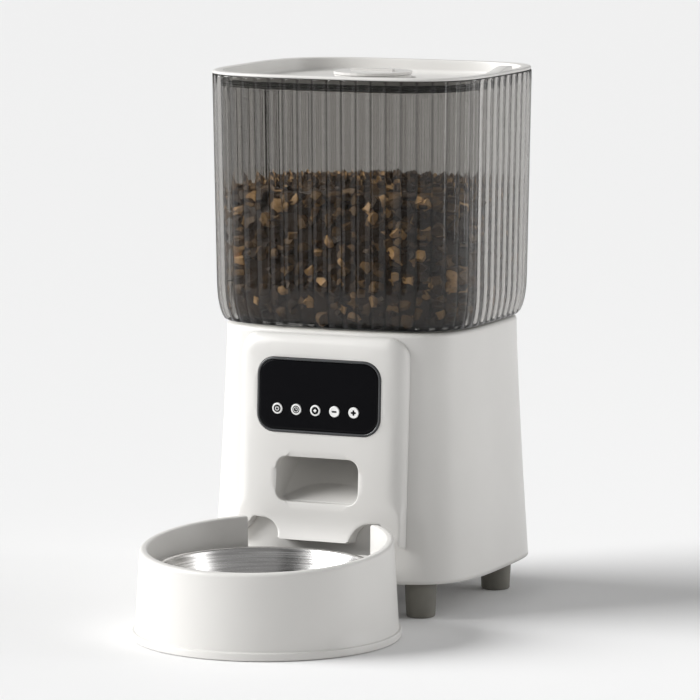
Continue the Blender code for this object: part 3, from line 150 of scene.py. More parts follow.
class FinishColours(bpy.types.PropertyGroup):
    """Colours of the finishes."""

    white: colour("White plastic", "Housing, cover, lid and bowl holder", (0.69, 0.678, 0.655))
    smoke: colour("Smoked plastic", "Tint of the tank", (0.46, 0.448, 0.43))
    display: colour("Display", "Glossy display window", (0.006, 0.006, 0.007))
    frame: colour("Display frame", "Frame round the display", (0.06, 0.062, 0.065))
    steel: colour("Steel", "Bowl", (0.66, 0.65, 0.64))
    feet: colour("Feet", "Rubber feet", (0.185, 0.178, 0.155))
    seal: colour("Seal", "Lid seal", (0.03, 0.03, 0.028))
    food_dark: colour("Dark food", "Most of the food", (0.036, 0.020, 0.010))
    food_light: colour("Light food", "A few of the pieces", (0.68, 0.42, 0.19))


# ---------------------------------------------------------------- materials
def operator(kind):
    """A Python operator that adds a Math node of this kind."""
    return lambda wire, other: wire.maths(kind, wire, other)


class Wire:
    """An output of a node. Python's operators on it add Math nodes and give the result's output."""

    __add__ = __radd__ = operator("ADD")
    __sub__ = operator("SUBTRACT")
    __mul__ = __rmul__ = operator("MULTIPLY")
    __pow__ = operator("POWER")

    def __init__(self, finish, socket):
        self.finish = finish
        self.socket = socket

    def maths(self, kind, *values):
        """A Math node of this kind on these values."""
        return self.finish.node("ShaderNodeMath", {"operation": kind}, dict(enumerate(values)))

    def between(self, low, high):
        """0 below low, 1 above high, and a straight run between them."""
        return self.finish.node(
            "ShaderNodeMapRange", {"clamp": True}, {"Value": self, "From Min": low, "From Max": high}
        )


class Finish:
    """A material with one Principled shader, and the nodes that feed it."""

    def __init__(self, name, **sockets):
        self.material = bpy.data.materials.new(name)
        self.material.use_nodes = True
        self.tree = self.material.node_tree
        self.shader = self.tree.nodes["Principled BSDF"]
        for label, value in sockets.items():
            self.feed(label.replace("_", " ").title().replace("Ior", "IOR"), value)

    def node(self, kind, settings=None, values=None, output=0):
        """A node of this type with its settings made first, then its sockets' values or links."""
        made = self.tree.nodes.new(kind)
        for name, value in (settings or {}).items():
            setattr(made, name, value)
        for name, value in (values or {}).items():
            self.set(made.inputs[name], value)
        return Wire(self, made.outputs[output])

    def set(self, target, value):
        """Links a wire to this input, or writes a plain value on it."""
        if isinstance(value, Wire):
            self.tree.links.new(value.socket, target)
        elif target.type == "RGBA" and len(value) == 3:
            target.default_value = (*value, 1.0)
        else:
            target.default_value = value

    def feed(self, label, value):
        """Links or writes the shader's input of this label."""
        self.set(self.shader.inputs[label], value)

    def place(self, scale=(1.0, 1.0, 1.0)):
        """Object coordinates, stretched by scale."""
        spot = self.node("ShaderNodeTexCoord", output="Object")
        return self.node("ShaderNodeMapping", values={"Vector": spot, "Scale": scale})

    def noise(self, scale, detail=3.0, stretch=(1.0, 1.0, 1.0)):
        """Smooth noise in object coordinates."""
        values = {"Vector": self.place(stretch), "Scale": scale, "Detail": detail}
        return self.node("ShaderNodeTexNoise", values=values)

    def mix(self, amount, first, second):
        """Colours mixed by amount."""
        values = {0: amount, 6: first, 7: second}
        return self.node("ShaderNodeMix", {"data_type": "RGBA"}, values, output=2)

    def tones(self, amount, tint, dark, light, low=0.3, high=0.7):
        """Feeds the colour: the tint from its dark to its light share while amount runs from low to high."""
        self.feed("Base Color", self.mix(amount.between(low, high), shade(tint, dark), shade(tint, light)))

    def bump(self, height, strength, distance):
        """Feeds the normal with a bump of this height."""
        values = {"Height": height, "Strength": strength, "Distance": distance}
        self.feed("Normal", self.node("ShaderNodeBump", values=values))


def shade(tint, share):
    """The tint made lighter or darker by share."""
    return tuple(min(1.0, part * share) for part in tint)


def moulded(name, tint, roughness, grain=0.05):
    """Moulded plastic: a fine orange-peel grain, slow changes of tone and a roughness that drifts."""
    finish = Finish(name, roughness=roughness, specular_ior_level=0.45)
    slow = finish.noise(18.0, 2.0)
    fine = finish.noise(2600.0, 2.0)
    finish.tones(slow, tint, 0.975, 1.02)
    finish.feed("Roughness", roughness - 0.05 + 0.1 * finish.noise(160.0))
    finish.bump(fine, grain, 0.00008)
    return finish.material


def smoked(tint):
    """Clear smoked plastic that lets lamps through, so that the food behind it is lit. A point attribute, 1
    in the valley between two flutes, deepens the tint there: painted shade between the flutes."""
    finish = Finish("smoked_clear", transmission_weight=1.0, ior=1.36, specular_ior_level=0.08)
    # Painted shade: towards the valleys between the flutes the tint darkens to 0.45 of itself.
    groove_shade = finish.node("ShaderNodeAttribute", {"attribute_name": "groove_shade"}, output="Fac")
    finish.feed("Base Color", finish.mix(groove_shade.between(0.35, 1.0), tint, shade(tint, 0.45)))
    finish.feed("Roughness", 0.015 + 0.04 * finish.noise(90.0))
    see = finish.node("ShaderNodeBsdfTransparent", values={"Color": (0.9, 0.9, 0.89)})
    path = finish.node("ShaderNodeLightPath", output="Is Shadow Ray")
    body = Wire(finish, finish.shader.outputs[0])
    both = finish.node("ShaderNodeMixShader", values={0: path, 1: body, 2: see})
    output = finish.tree.nodes["Material Output"]
    finish.tree.links.new(both.socket, output.inputs["Surface"])
    return finish.material


def display_gloss(tint):
    """A hard-coated black window with faint wipe marks."""
    finish = Finish("display_black", base_color=tint, specular_ior_level=0.08)
    wipes = finish.noise(60.0, 4.0, (1.0, 1.0, 4.0))
    finish.feed("Roughness", 0.08 + 0.12 * wipes)
    return finish.material


def turned_steel(tint, centre_y):
    """Steel brushed in rings: the grain is noise read along the distance from the bowl's axis."""
    finish = Finish("brushed_bowl_steel", metallic=1.0)
    parts = finish.tree.nodes.new("ShaderNodeSeparateXYZ")
    finish.set(parts.inputs[0], finish.node("ShaderNodeTexCoord", output="Object"))
    x, y, z = (Wire(finish, out) for out in parts.outputs)
    y = y - centre_y
    away = (x * x + y * y) ** 0.5
    turn = x.maths("ARCTAN2", y, x)

    def grain(across, upright, around, seed, detail):
        """Noise that is fine across the rings and slow along them."""
        values = {0: away * across + z * upright, 1: turn * around, 2: seed}
        spot = finish.node("ShaderNodeCombineXYZ", values=values)
        return finish.node("ShaderNodeTexNoise", values={"Vector": spot, "Scale": 1.0, "Detail": detail})

    rings = grain(900.0, 500.0, 1.3, 0.0, 5.0)
    bands = grain(260.0, 130.0, 0.8, 3.0, 3.0)
    finish.tones(rings * 0.5 + bands * 0.5, tint, 0.72, 1.25, 0.35, 0.65)
    finish.feed("Roughness", 0.16 + 0.2 * rings)
    finish.bump(rings + bands, 0.55, 0.0002)
    return finish.material


def zinc(name, tint, roughness=0.34):
    """Plated sheet metal with a faint drawn grain."""
    finish = Finish(name, metallic=1.0)
    grain = finish.noise(420.0, 3.0, (1.0, 0.08, 1.0))
    finish.tones(grain, tint, 0.85, 1.12)
    finish.feed("Roughness", roughness - 0.08 + 0.16 * grain)
    finish.bump(grain, 0.15, 0.0001)
    return finish.material


def rubber(name, tint, roughness=0.62):
    """Matt rubber with a speckled, dusty surface."""
    finish = Finish(name, specular_ior_level=0.3)
    speck = finish.noise(1500.0, 3.0)
    slow = finish.noise(60.0, 2.0)
    finish.tones(slow, tint, 0.9, 1.12)
    finish.feed("Roughness", roughness - 0.06 + 0.14 * speck)
    finish.bump(speck, 0.2, 0.00012)
    return finish.material


def board_mask():
    """Solder mask with straight copper tracks under it and bright pads."""
    finish = Finish("circuit_board", specular_ior_level=0.5)
    tracks = finish.node(
        "ShaderNodeTexBrick",
        {"offset": 0.5},
        {"Vector": finish.place(), "Scale": 260.0, "Mortar Size": 0.035},
        output="Fac",
    )
    finish.feed("Base Color", finish.mix(tracks, (0.012, 0.10, 0.045), (0.03, 0.22, 0.09)))
    finish.feed("Roughness", 0.35 + 0.2 * finish.noise(300.0))
    finish.bump(tracks, 0.3, 0.0001)
    return finish.material


def food_finish(dark, light):
    """Baked pieces: each has its own tone, held in the attribute tone, and an open crumb whose pores are
    bumped in and painted near black as painted shade.
    """
    finish = Finish("dry_food", specular_ior_level=0.2)
    tone = finish.node("ShaderNodeAttribute", {"attribute_name": "tone"}, output="Fac")
    crumb_and_pore_shade = finish.noise(900.0, 4.0)
    lit = finish.mix(tone, dark, light)
    # Painted shade: where the crumb noise is low, the pores are painted near black.
    finish.feed("Base Color", finish.mix(crumb_and_pore_shade.between(0.2, 0.45), (0.008, 0.004, 0.002), lit))
    finish.feed("Roughness", 0.35 + 0.3 * crumb_and_pore_shade)
    finish.bump(crumb_and_pore_shade, 0.3, 0.0004)
    return finish.material


FINISHES = {}


def finish_named(name):
    """The finish of this name. All of them are made when the first is asked for."""
    if not FINISHES:
        make_finishes(bpy.context)
    return FINISHES[name]


def make_finishes(context):
    """Makes every finish from the scene's colours, under its slot's name."""
    tints = context.scene.feeder_colours
    FINISHES.update(
        white_plastic=moulded("white_plastic", tints.white, 0.36),
        smoked_clear=smoked(tints.smoke),
        display_black=display_gloss(tints.display),
        bezel_grey=moulded("bezel_grey", tints.frame, 0.24, 0.02),
        brushed_bowl_steel=turned_steel(tints.steel, BOWL_Y),
        seal_rubber=rubber("seal_rubber", tints.seal),
        foot_taupe=rubber("foot_taupe", tints.feet, 0.55),
        key_white=moulded("key_white", (0.86, 0.86, 0.85), 0.3, 0.02),
        inner_plastic=moulded("inner_plastic", (0.42, 0.43, 0.44), 0.5, 0.15),
        gear_plastic=moulded("gear_plastic", (0.78, 0.76, 0.69), 0.42, 0.1),
        circuit_board=board_mask(),
        plated_metal=zinc("plated_metal", (0.55, 0.56, 0.58)),
        dry_food=food_finish(tints.food_dark, tints.food_light),
    )


# ---------------------------------------------------------------- surfaces
def quads(rows, columns, wrap_rows=False, wrap_columns=True):
    """Corner numbers of a grid's squares, as an array of shape (rows, columns, 4)."""
    down = np.arange(rows if wrap_rows else rows - 1)
    across = np.arange(columns if wrap_columns else columns - 1)
    down, across = np.meshgrid(down, across, indexing="ij")
    below = (down + 1) % rows
    beside = (across + 1) % columns
    corners = [down * columns + across, down * columns + beside, below * columns + beside]
    return np.stack(corners + [below * columns + across], axis=-1)


def skin(points, wrap_rows=False, wrap_columns=True, ends=True, keep=None):
    """Points and faces of a grid of shape (rows, columns, 3). Its rows go up the outer side with their
    columns anticlockwise from above. ends closes the first and last row with a fan; keep is a mask of
    the squares that stay."""
    rows, columns = points.shape[:2]
    squares = quads(rows, columns, wrap_rows, wrap_columns)
    squares = squares[keep] if keep is not None else squares.reshape(-1, 4)
    flat = points.reshape(-1, 3)
    faces = squares.tolist()
    if ends and not wrap_rows:
        centres = np.stack([points[0].mean(axis=0), points[-1].mean(axis=0)])
        count = len(flat)
        flat = np.concatenate([flat, centres])
        ring = np.arange(columns)
        after = np.roll(ring, -1)
        first = np.stack([after, ring, np.full(columns, count)], axis=1)
        last = (rows - 1) * columns
        final = np.stack([last + ring, last + after, np.full(columns, count + 1)], axis=1)
        faces += first.tolist() + final.tolist()
    return flat, faces


def joined(*shapes):
    """Several (points, faces) as one."""
    points = []
    faces = []
    start = 0
    for some, corners in shapes:
        points.append(np.asarray(some))
        faces += [[corner + start for corner in face] for face in corners]
        start += len(some)
    return np.concatenate(points), faces


def shaped(name, shape):
    """A new object with this shape's points and faces, and no finish or body yet."""
    points, faces = shape
    mesh = bpy.data.meshes.new(name)
    mesh.from_pydata(np.asarray(points).tolist(), [], faces)
    obj = bpy.data.objects.new(name, mesh)
    bpy.context.scene.collection.objects.link(obj)
    return obj


def thicken(obj, thickness, offset):
    """Gives a skin its wall."""
    wall = obj.modifiers.new("wall", "SOLIDIFY")
    wall.thickness = thickness
    wall.offset = offset


def paint(obj, name, values):
    """Writes one number for each point as the attribute of this name."""
    layer = obj.data.attributes.new(name, "FLOAT", "POINT")
    layer.data.foreach_set("value", np.ravel(values).astype(np.float32))


def middles(rows):
    """The middle of every square of a grid whose columns run round."""
    halfway = (rows[:-1] + rows[1:]) / 2
    return (halfway + np.roll(halfway, -1, axis=1)) / 2


def stood(outline, y):
    """An outline in X and Z as points at depth y."""
    return np.column_stack([outline[:, 0], np.broadcast_to(y, len(outline)), outline[:, 1]])


def profiled(start, *rows):
    """Rows of (radius, height over start) in millimetres as a profile in metres."""
    return [(radius * MM, start + height * MM) for radius, height in rows]


def edge_fall(gap, radius):
    """How far a quarter-round edge has fallen at a distance of gap from it."""
    return radius * (1 - np.sqrt(1 - (1 - np.clip(gap / radius, 0, 1)) ** 2))


def piece(name, shape, body, slot, replaces=(), sharp=40, finish=None, weld=False):
    """A finished piece: its mesh in place, its body, the finish of its slot (or of finish), and the nodes it
    stands for hidden.
    """
    obj = shaped(name, shape)
    mesh = obj.data
    if weld:
        form = bmesh.new()
        form.from_mesh(mesh)
        bmesh.ops.remove_doubles(form, verts=form.verts, dist=1e-6)
        form.to_mesh(mesh)
        form.free()
    mesh.shade_smooth()
    mesh.set_sharp_from_angle(angle=math.radians(sharp))
    mesh.materials.append(finish_named(finish or slot))
    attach(obj, body)
    if replaces:
        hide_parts(*replaces)
    return obj


def evened(outline, count):
    """The closed outline's points moved to equal distances along it."""
    closed = np.concatenate([outline, outline[:1]])
    steps = np.linalg.norm(np.diff(closed, axis=0), axis=1)
    run = np.concatenate([[0.0], np.cumsum(steps)])
    want = np.linspace(0.0, run[-1], count, endpoint=False)
    return np.stack([np.interp(want, run, closed[:, axis]) for axis in range(2)], axis=1)


def squircle(half_width, half_depth, z, count, power, centre_y=BASE_Y):
    """Points at equal distances along |x/half_width|^power + |y/half_depth|^power = 1, at height z."""
    turn = np.linspace(0, 2 * np.pi, 2400, endpoint=False)
    flat = np.sign(np.cos(turn)) * np.abs(np.cos(turn)) ** (2 / power)
    deep = np.sign(np.sin(turn)) * np.abs(np.sin(turn)) ** (2 / power)
    outline = evened(np.stack([half_width * flat, half_depth * deep], axis=1), count)
    return np.column_stack([outline[:, 0], outline[:, 1] + centre_y, np.full(count, z)])


def turned(profile, count, centre=(0.0, 0.0), axis="Z"):
    """A profile of (radius, height) turned about Z, or about Y with its heights running to +Y."""
    turn = np.linspace(0, 2 * np.pi, count, endpoint=False)
    profile = np.asarray(profile)
    radius = profile[:, :1]
    height = np.repeat(profile[:, 1:2], count, axis=1)
    first = radius * np.cos(turn)
    second = radius * np.sin(turn)
    if axis == "Z":
        return np.stack([first + centre[0], second + centre[1], height], axis=-1)
    return np.stack([first + centre[0], height, centre[1] - second], axis=-1)


def bend(x, z, radius, start, end, steps):
    """Points of an arc in a profile, angles in degrees."""
    turn = np.radians(np.linspace(start, end, steps))
    return [(x + radius * math.cos(a), z + radius * math.sin(a)) for a in turn]


def rounded_rectangle(x, y, width, height, radius, steps=10):
    """An anticlockwise outline with round corners."""
    right = x + width / 2 - radius
    left = x - width / 2 + radius
    top = y + height / 2 - radius
    bottom = y - height / 2 + radius
    outline = bend(right, top, radius, 0, 90, steps) + bend(left, top, radius, 90, 180, steps)
    outline += bend(left, bottom, radius, 180, 270, steps) + bend(right, bottom, radius, 270, 360, steps)
    return np.array(outline)


def circle(x, y, radius, count=40):
    """A circle's points, anticlockwise."""
    turn = np.linspace(0, 2 * np.pi, count, endpoint=False)
    return np.stack([x + radius * np.cos(turn), y + radius * np.sin(turn)], axis=1)


def inside(points, loop):
    """Which points lie inside the loop, by counting the edges that a ray to +X crosses."""
    ends = np.roll(loop, -1, axis=0)
    x, y = points[:, :1], points[:, 1:]
    above = (loop[:, 1] > y) != (ends[:, 1] > y)
    rise = np.where(np.abs(ends[:, 1] - loop[:, 1]) < 1e-12, 1e-12, ends[:, 1] - loop[:, 1])
    crossing = loop[:, 0] + (y - loop[:, 1]) / rise * (ends[:, 0] - loop[:, 0])
    return (above & (x < crossing)).sum(axis=1) % 2 == 1


def nearest(points, loop):
    """Each point's distance to the loop, and the number of the edge that it is nearest to."""
    span = np.roll(loop, -1, axis=0) - loop
    offset = points[:, None, :] - loop[None, :, :]
    share = np.clip((offset * span).sum(-1) / np.maximum((span * span).sum(-1), 1e-18), 0.0, 1.0)
    gap = np.linalg.norm(offset - share[..., None] * span, axis=-1)
    return gap.min(axis=1), gap.argmin(axis=1)


def filled(outline, holes, spacing, insets):
    """A flat plate: the outline without its holes, as points and triangles. It has points at each inset
    from the outline, and at the small ones from each hole, so that an edge can be rounded, and a grid of
    the given spacing between them."""
    loops = [outline] + list(holes)
    cloud = [np.concatenate(loops)]
    for number, loop in enumerate(loops):
        along = np.roll(loop, -1, axis=0) - np.roll(loop, 1, axis=0)
        along /= np.linalg.norm(along, axis=1)[:, None]
        inward = np.stack([-along[:, 1], along[:, 0]], axis=1) * (1 if number == 0 else -1)
        for inset in insets[insets < spacing] if number else insets:
            moved = loop + inward * inset
            gaps = np.min([nearest(moved, other)[0] for other in loops], axis=0)
            inner = inside(moved, outline) & (gaps > 0.97 * inset)
            for hole in holes:
                inner &= ~inside(moved, hole)
            cloud.append(moved[inner])
    low, high = outline.min(axis=0), outline.max(axis=0)
    across = np.arange(low[0], high[0], spacing)
    up = np.arange(low[1], high[1], spacing)
    lattice = np.stack(np.meshgrid(across, up), axis=-1).reshape(-1, 2)
    gaps = np.min([nearest(lattice, loop)[0] for loop in loops], axis=0)
    clear = nearest(lattice, outline)[0] > max(insets) + spacing * 0.4
    inner = inside(lattice, outline) & clear & (gaps > spacing)
    for hole in holes:
        inner &= ~inside(lattice, hole)
    cloud.append(lattice[inner])
    cloud = np.concatenate(cloud)
    edges = []
    start = 0
    for loop in loops:
        ring = np.arange(len(loop))
        edges += np.stack([ring + start, np.roll(ring, -1) + start], axis=1).tolist()
        start += len(loop)
    result = delaunay_2d_cdt([Vector(p) for p in cloud.tolist()], edges, [], 0, 1e-7, True)
    flat = np.array([tuple(p) for p in result[0]])
    triangles = np.array([face for face in result[2] if len(face) == 3])
    middle = flat[triangles].mean(axis=1)
    kept = inside(middle, outline)
    for hole in holes:
        kept &= ~inside(middle, hole)
    renumbered = np.zeros(start, int)
    for new, old in enumerate(result[3]):
        for number in old:
            if number < start:
                renumbered[number] = new
    return flat, triangles[kept], renumbered


def slab(outline, holes, spacing, insets, front, back, wall_outline=True):
    """A plate with a front surface and a back surface, y = front(flat) and y = back(flat), and walls
    between them round every edge that asks for one."""
    flat, triangles, numbers = filled(outline, holes, spacing, insets)
    count = len(flat)
    face = np.column_stack([flat[:, 0], front(flat), flat[:, 1]])
    rear = np.column_stack([flat[:, 0], back(flat), flat[:, 1]])
    faces = triangles.tolist() + (triangles[:, ::-1] + count).tolist()
    start = 0
    for order, loop in enumerate([outline] + list(holes)):
        ring = numbers[start : start + len(loop)]
        after = np.roll(ring, -1)
        start += len(loop)
        if order == 0 and not wall_outline:
            continue
        sides = np.stack([after, ring, ring + count, after + count], axis=1)
        if order:
            sides = sides[:, ::-1]
        faces += sides.tolist()
    return np.concatenate([face, rear]), faces


# ---------------------------------------------------------------- the base's outer form
def base_half(z, sizes):
    """The base's half width and half depth at height z: the top's, and a flare that grows downwards."""
    share = np.clip((BASE_TOP_Z - z) / (BASE_TOP_Z - BASE_BOTTOM_Z), 0.0, 1.0) ** sizes.flare_power
    wide = BASE_HIGH.x - sizes.flare_width * (1 - share)
    deep = (BASE_HIGH.y - BASE_Y) - sizes.flare_depth * (1 - share)
    return wide, deep


def front_y(x, z, proud, sizes):
    """Where the base's front, raised by proud, lies at x and z."""
    wide, deep = base_half(z, sizes)
    share = np.clip(1 - np.abs(x / (wide + proud)) ** sizes.corner_power, 0.0, 1.0)
    return BASE_Y - (deep + proud) * share ** (1 / sizes.corner_power)


# Half width, low and high of each opening in the housing.
DISPLAY_OPENING = (40 * MM, 114 * MM, 157 * MM)
MOUTH_OPENING = (31 * MM, 66 * MM, 101 * MM)
SOCKET_OPENING = (5.4 * MM, 70.6 * MM, 81.4 * MM)


class BuildBase(bpy.types.Operator):
    """Builds the base housing: a flared skin with a rounded top edge and openings behind the cover."""

    bl_idname = "feeder.build_base"
    bl_label = "Base housing"

    def execute(self, context):
        sizes = context.scene.feeder_base
        count = 320
        heights = np.linspace(BASE_BOTTOM_Z, BASE_TOP_Z - sizes.top_round, 64)
        rings = [squircle(*base_half(z, sizes), z, count, sizes.corner_power) for z in heights]
        for angle in np.radians((15, 30, 45, 60, 75, 90)):
            inset = sizes.top_round * (1 - math.cos(angle))
            z = BASE_TOP_Z - sizes.top_round * (1 - math.sin(angle))
            wide, deep = base_half(z, sizes)
            rings.append(squircle(wide - inset, deep - inset, z, count, sizes.corner_power))
        wide, deep = base_half(BASE_TOP_Z, sizes)
        outline = np.array((wide, deep, sizes.corner_power))
        hole = np.array((sizes.deck_hole, sizes.deck_hole, 2.0))
        for share in (0.3, 0.6, 1.0):
            half_width, half_depth, power = outline * (1 - share) + hole * share
            rings.append(squircle(half_width, half_depth, BASE_TOP_Z, count, power))
        outer = np.array(rings)
        x, y, z = np.moveaxis(middles(outer), -1, 0)

        def opening(half_width, low, high):
            """The squares of the skin within half_width of the middle and between two heights."""
            return (np.abs(x) < half_width) & (z > low) & (z < high)

        display = opening(*DISPLAY_OPENING) & (y < BASE_Y)
        mouth = opening(*MOUTH_OPENING) & (y < BASE_Y)
        socket = opening(*SOCKET_OPENING) & (y > BASE_Y)
        obj = piece(
            "base_housing",
            skin(outer, ends=False, keep=~(display | mouth | socket)),
            "base",
            "white_plastic",
            ["base_shell"],
        )
        thicken(obj, sizes.wall, -1.0)
        return {"FINISHED"}


OUTLINE_STEP = 2.2 * MM


def cover_outline(sizes):
    """The cover's outline in X and Z, anticlockwise: round top corners, a peak over each side of the
    bowl holder and a tongue between two quarter-round notches."""
    wide = sizes.cover_half
    top, foot, radius = 173 * MM, 43.5 * MM, 13 * MM
    notch_x, notch_z, notch, peak = 36.4 * MM, 46.5 * MM, 12 * MM, 42 * MM
    half = bend(notch_x, notch_z, notch, 180, 90, 14)
    half += [(peak, notch_z + notch), (wide - 0.6 * MM, foot + 0.2 * MM), (wide, foot + 1.2 * MM)]
    half += bend(wide - radius, top - radius, radius, 0, 90, 16)
    half = np.array(half)
    runs = []
    for first, second in zip(half[:-1], half[1:]):
        steps = max(1, int(np.linalg.norm(second - first) / OUTLINE_STEP))
        runs += [first + (second - first) * step / steps for step in range(steps)]
    right = np.array(runs + [half[-1]])
    across = int(right[0][0] * 2 / OUTLINE_STEP)
    foot_line = [(x, notch_z) for x in np.linspace(-right[0][0], right[0][0], across)[1:-1]]
    above = int(right[-1][0] * 2 / OUTLINE_STEP)
    top_line = [(x, top) for x in np.linspace(right[-1][0], -right[-1][0], above)[1:-1]]
    left = right[::-1] * (-1, 1)
    return np.concatenate([foot_line, right, top_line, left])


class BuildCover(bpy.types.Operator):
    """Builds the raised front cover, rounded at its sides and top, with a tongue that curves out."""

    bl_idname = "feeder.build_cover"
    bl_label = "Front cover"

    def execute(self, context):
        sizes = context.scene.feeder_base
        display = context.scene.feeder_display
        outline = cover_outline(sizes)
        window = rounded_rectangle(0, DISPLAY_Z, display.width, display.height, display.corner)
        mouth = rounded_rectangle(0, MOUTH_Z, sizes.chute_width, MOUTH_HEIGHT, MOUTH_CORNER)
        lip_top, lip_low, lip_turn = 62 * MM, 46.5 * MM, 0.978
        lip_half, lip_fade = 40 * MM, 9 * MM
        narrow, narrow_top, widening = 1.3 * MM, 60 * MM, 14 * MM

        def rise(flat):
            """A quarter ellipse from the edge inwards, narrow along the bottom edges, plus the lip: a
            concave quarter ellipse below lip_top that fades out past the tongue's sides. A small round
            edge falls back into the mouth and the display's opening."""
            gap, edge = nearest(flat, outline)
            low = np.clip((outline[edge, 1] - narrow_top) / widening, 0.0, 1.0)
            width = narrow + (sizes.cover_round - narrow) * low * low * (3 - 2 * low)
            swell = np.sqrt(np.clip(1 - (1 - np.clip(gap / width, 0, 1)) ** 2, 0, 1))
            drop = np.clip((lip_top - flat[:, 1]) / (lip_top - lip_low), 0, 1) * lip_turn
            fade = np.clip((lip_half - np.abs(flat[:, 0])) / lip_fade, 0, 1)
            lip = sizes.lip_reach * (1 - np.sqrt(1 - drop * drop)) * fade
            hole_gap = np.minimum(nearest(flat, window)[0] + 0.5 * MM, nearest(flat, mouth)[0])
            return GAP + (sizes.cover_proud - GAP + lip) * swell - edge_fall(hole_gap, 0.7 * MM)

        def front(flat):
            """The cover's face, raised by rise."""
            return front_y(flat[:, 0], flat[:, 1], rise(flat), sizes)

        def back(flat):
            """The cover's rear, a gap away from the housing."""
            return front_y(flat[:, 0], flat[:, 1], GAP, sizes)

        insets = np.array([0.04, 0.14, 0.3, 0.6, 1.0, 1.6, 2.6, 4.0, 5.6, 7.4, 9.4]) * MM
        spacing = 1.9 * MM
        shape = slab(outline, [window, mouth], spacing, insets, front, back, wall_outline=False)
        piece("cover_panel", shape, "base", "white_plastic", ["front_cover"], sharp=50, weld=True)
        return {"FINISHED"}


CHUTE_LOW, CHUTE_HIGH = (Vector(corner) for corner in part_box("chute"))
DISPLAY_Z = (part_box("display_bezel")[0][2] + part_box("display_bezel")[1][2]) / 2
MOUTH_LOW_Z = CHUTE_LOW.z + 2 * MM
MOUTH_HEIGHT = 28 * MM
MOUTH_Z = MOUTH_LOW_Z + MOUTH_HEIGHT / 2
MOUTH_CORNER = 7 * MM
CHUTE_WALL = 1.6 * MM
SLOPE = 0.32
STEEP_SLOPE = 0.72


class BuildChute(bpy.types.Operator):
    """Builds the chute: a round-cornered duct whose floor is a shallow ramp and then a steep slide."""

    bl_idname = "feeder.build_chute"
    bl_label = "Chute"

    def execute(self, context):
        sizes = context.scene.feeder_base
        half = sizes.chute_width / 2
        start = front_y(0.0, MOUTH_Z, 0.1 * MM, sizes)
        end = CHUTE_HIGH.y - 2 * MM
        slide, back = np.linspace(0, 56, 80), np.linspace(58, (end - start) / MM, 4)
        depths = np.concatenate([slide * MM, back * MM])
        outline = evened(rounded_rectangle(0, 0, 2, 2, 0.06, 5), 240)
        rings = []
        top = MOUTH_LOW_Z + MOUTH_HEIGHT
        for depth in depths:
            x = outline[:, 0] * half
            crease = 2 * MM + 22 * MM * (1 - np.abs(x / half) ** 3.5)
            ramp, steep = SLOPE * np.minimum(depth, crease), STEEP_SLOPE * np.maximum(depth - crease, 0)
            floor = MOUTH_LOW_Z + ramp + steep
            floor = np.minimum(floor, top - 1.5 * MM)
            up = (outline[:, 1] + 1) / 2
            z = floor + (top - floor) * up
            rings.append(stood(np.column_stack([x, z]), start + depth))
        rings = np.array(rings)[:, ::-1]
        x, y, z = np.moveaxis(middles(rings), -1, 0)
        throat = (y > BASE_Y - 38 * MM) & (y < BASE_Y - 17 * MM)
        hole = (z > top - 0.6 * MM) & throat & (np.abs(x) < 12 * MM)
        shape = skin(rings, ends=False, keep=~hole)
        obj = piece("chute_duct", shape, "base", "white_plastic", ["chute"], sharp=30)
        thicken(obj, CHUTE_WALL, 1.0)
        return {"FINISHED"}


# ---------------------------------------------------------------- display and keys
class BuildDisplay(bpy.types.Operator):
    """Builds the display's frame and its glossy window with five key holes."""

    bl_idname = "feeder.build_display"
    bl_label = "Display"

    def execute(self, context):
        sizes = context.scene.feeder_base
        display = context.scene.feeder_display

        def outline_at(inset, steps, count):
            """The display's outline drawn in by inset."""
            wide, high = display.width - 2 * inset, display.height - 2 * inset
            return evened(rounded_rectangle(0, DISPLAY_Z, wide, high, display.corner - inset, steps), count)

        section = [(0.0, 4.6), (0.0, 6.9), (0.15, 7.35), (0.5, 7.66), (0.9, 7.68)]
        section += [(1.25, 7.5), (1.45, 7.1), (1.5, 4.6)]
        rings = []
        for inset, proud in section:
            loop = outline_at(GAP + inset * MM, 14, 240)
            rings.append(stood(loop, front_y(loop[:, 0], loop[:, 1], proud * MM, sizes)))
        shape = skin(np.array(rings), wrap_rows=True)
        piece("display_frame", shape, "base", "bezel_grey", ["display_bezel"], sharp=60)
        outline = outline_at(display.frame_width + 0.4 * MM, 12, 150)
        radius = display.key_radius + 0.25 * MM
        holes = [circle(x, z, radius, 36) for x, z in key_places().values()]

        def front(flat):
            """The window's face, with an edge that falls off by a quarter circle."""
            fall = edge_fall(nearest(flat, outline)[0], 0.6 * MM)
            return front_y(flat[:, 0], flat[:, 1], 7.3 * MM - fall, sizes)

        def back(flat):
            """The window's rear."""
            return front_y(flat[:, 0], flat[:, 1], 5.2 * MM, sizes)

        insets = np.array([0.12, 0.35, 0.7, 1.6]) * MM
        shape = slab(outline, holes, 2.5 * MM, insets, front, back)
        piece("display_glass", shape, "base", "display_black", ["display_window"], sharp=50)
        return {"FINISHED"}


def key_places():
    """Each key's middle in X and Z, read from its node."""
    places = {}
    for name in KEY_NAMES:
        low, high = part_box(f"key_{name}")
        places[name] = ((low[0] + high[0]) / 2, (low[2] + high[2]) / 2)
    return places


def disc(x, z, face, radius, thick, count=40):
    """A thin round plate, its edge slightly rounded, whose front lies at y = face."""
    edge = min(0.12 * MM, thick / 2)
    profile = [(0.01 * MM, face), (radius - edge, face), (radius, face + edge), (radius, face + thick)]
    profile += [(0.01 * MM, face + thick)]
    return skin(turned(profile, count, (x, z), "Y"))


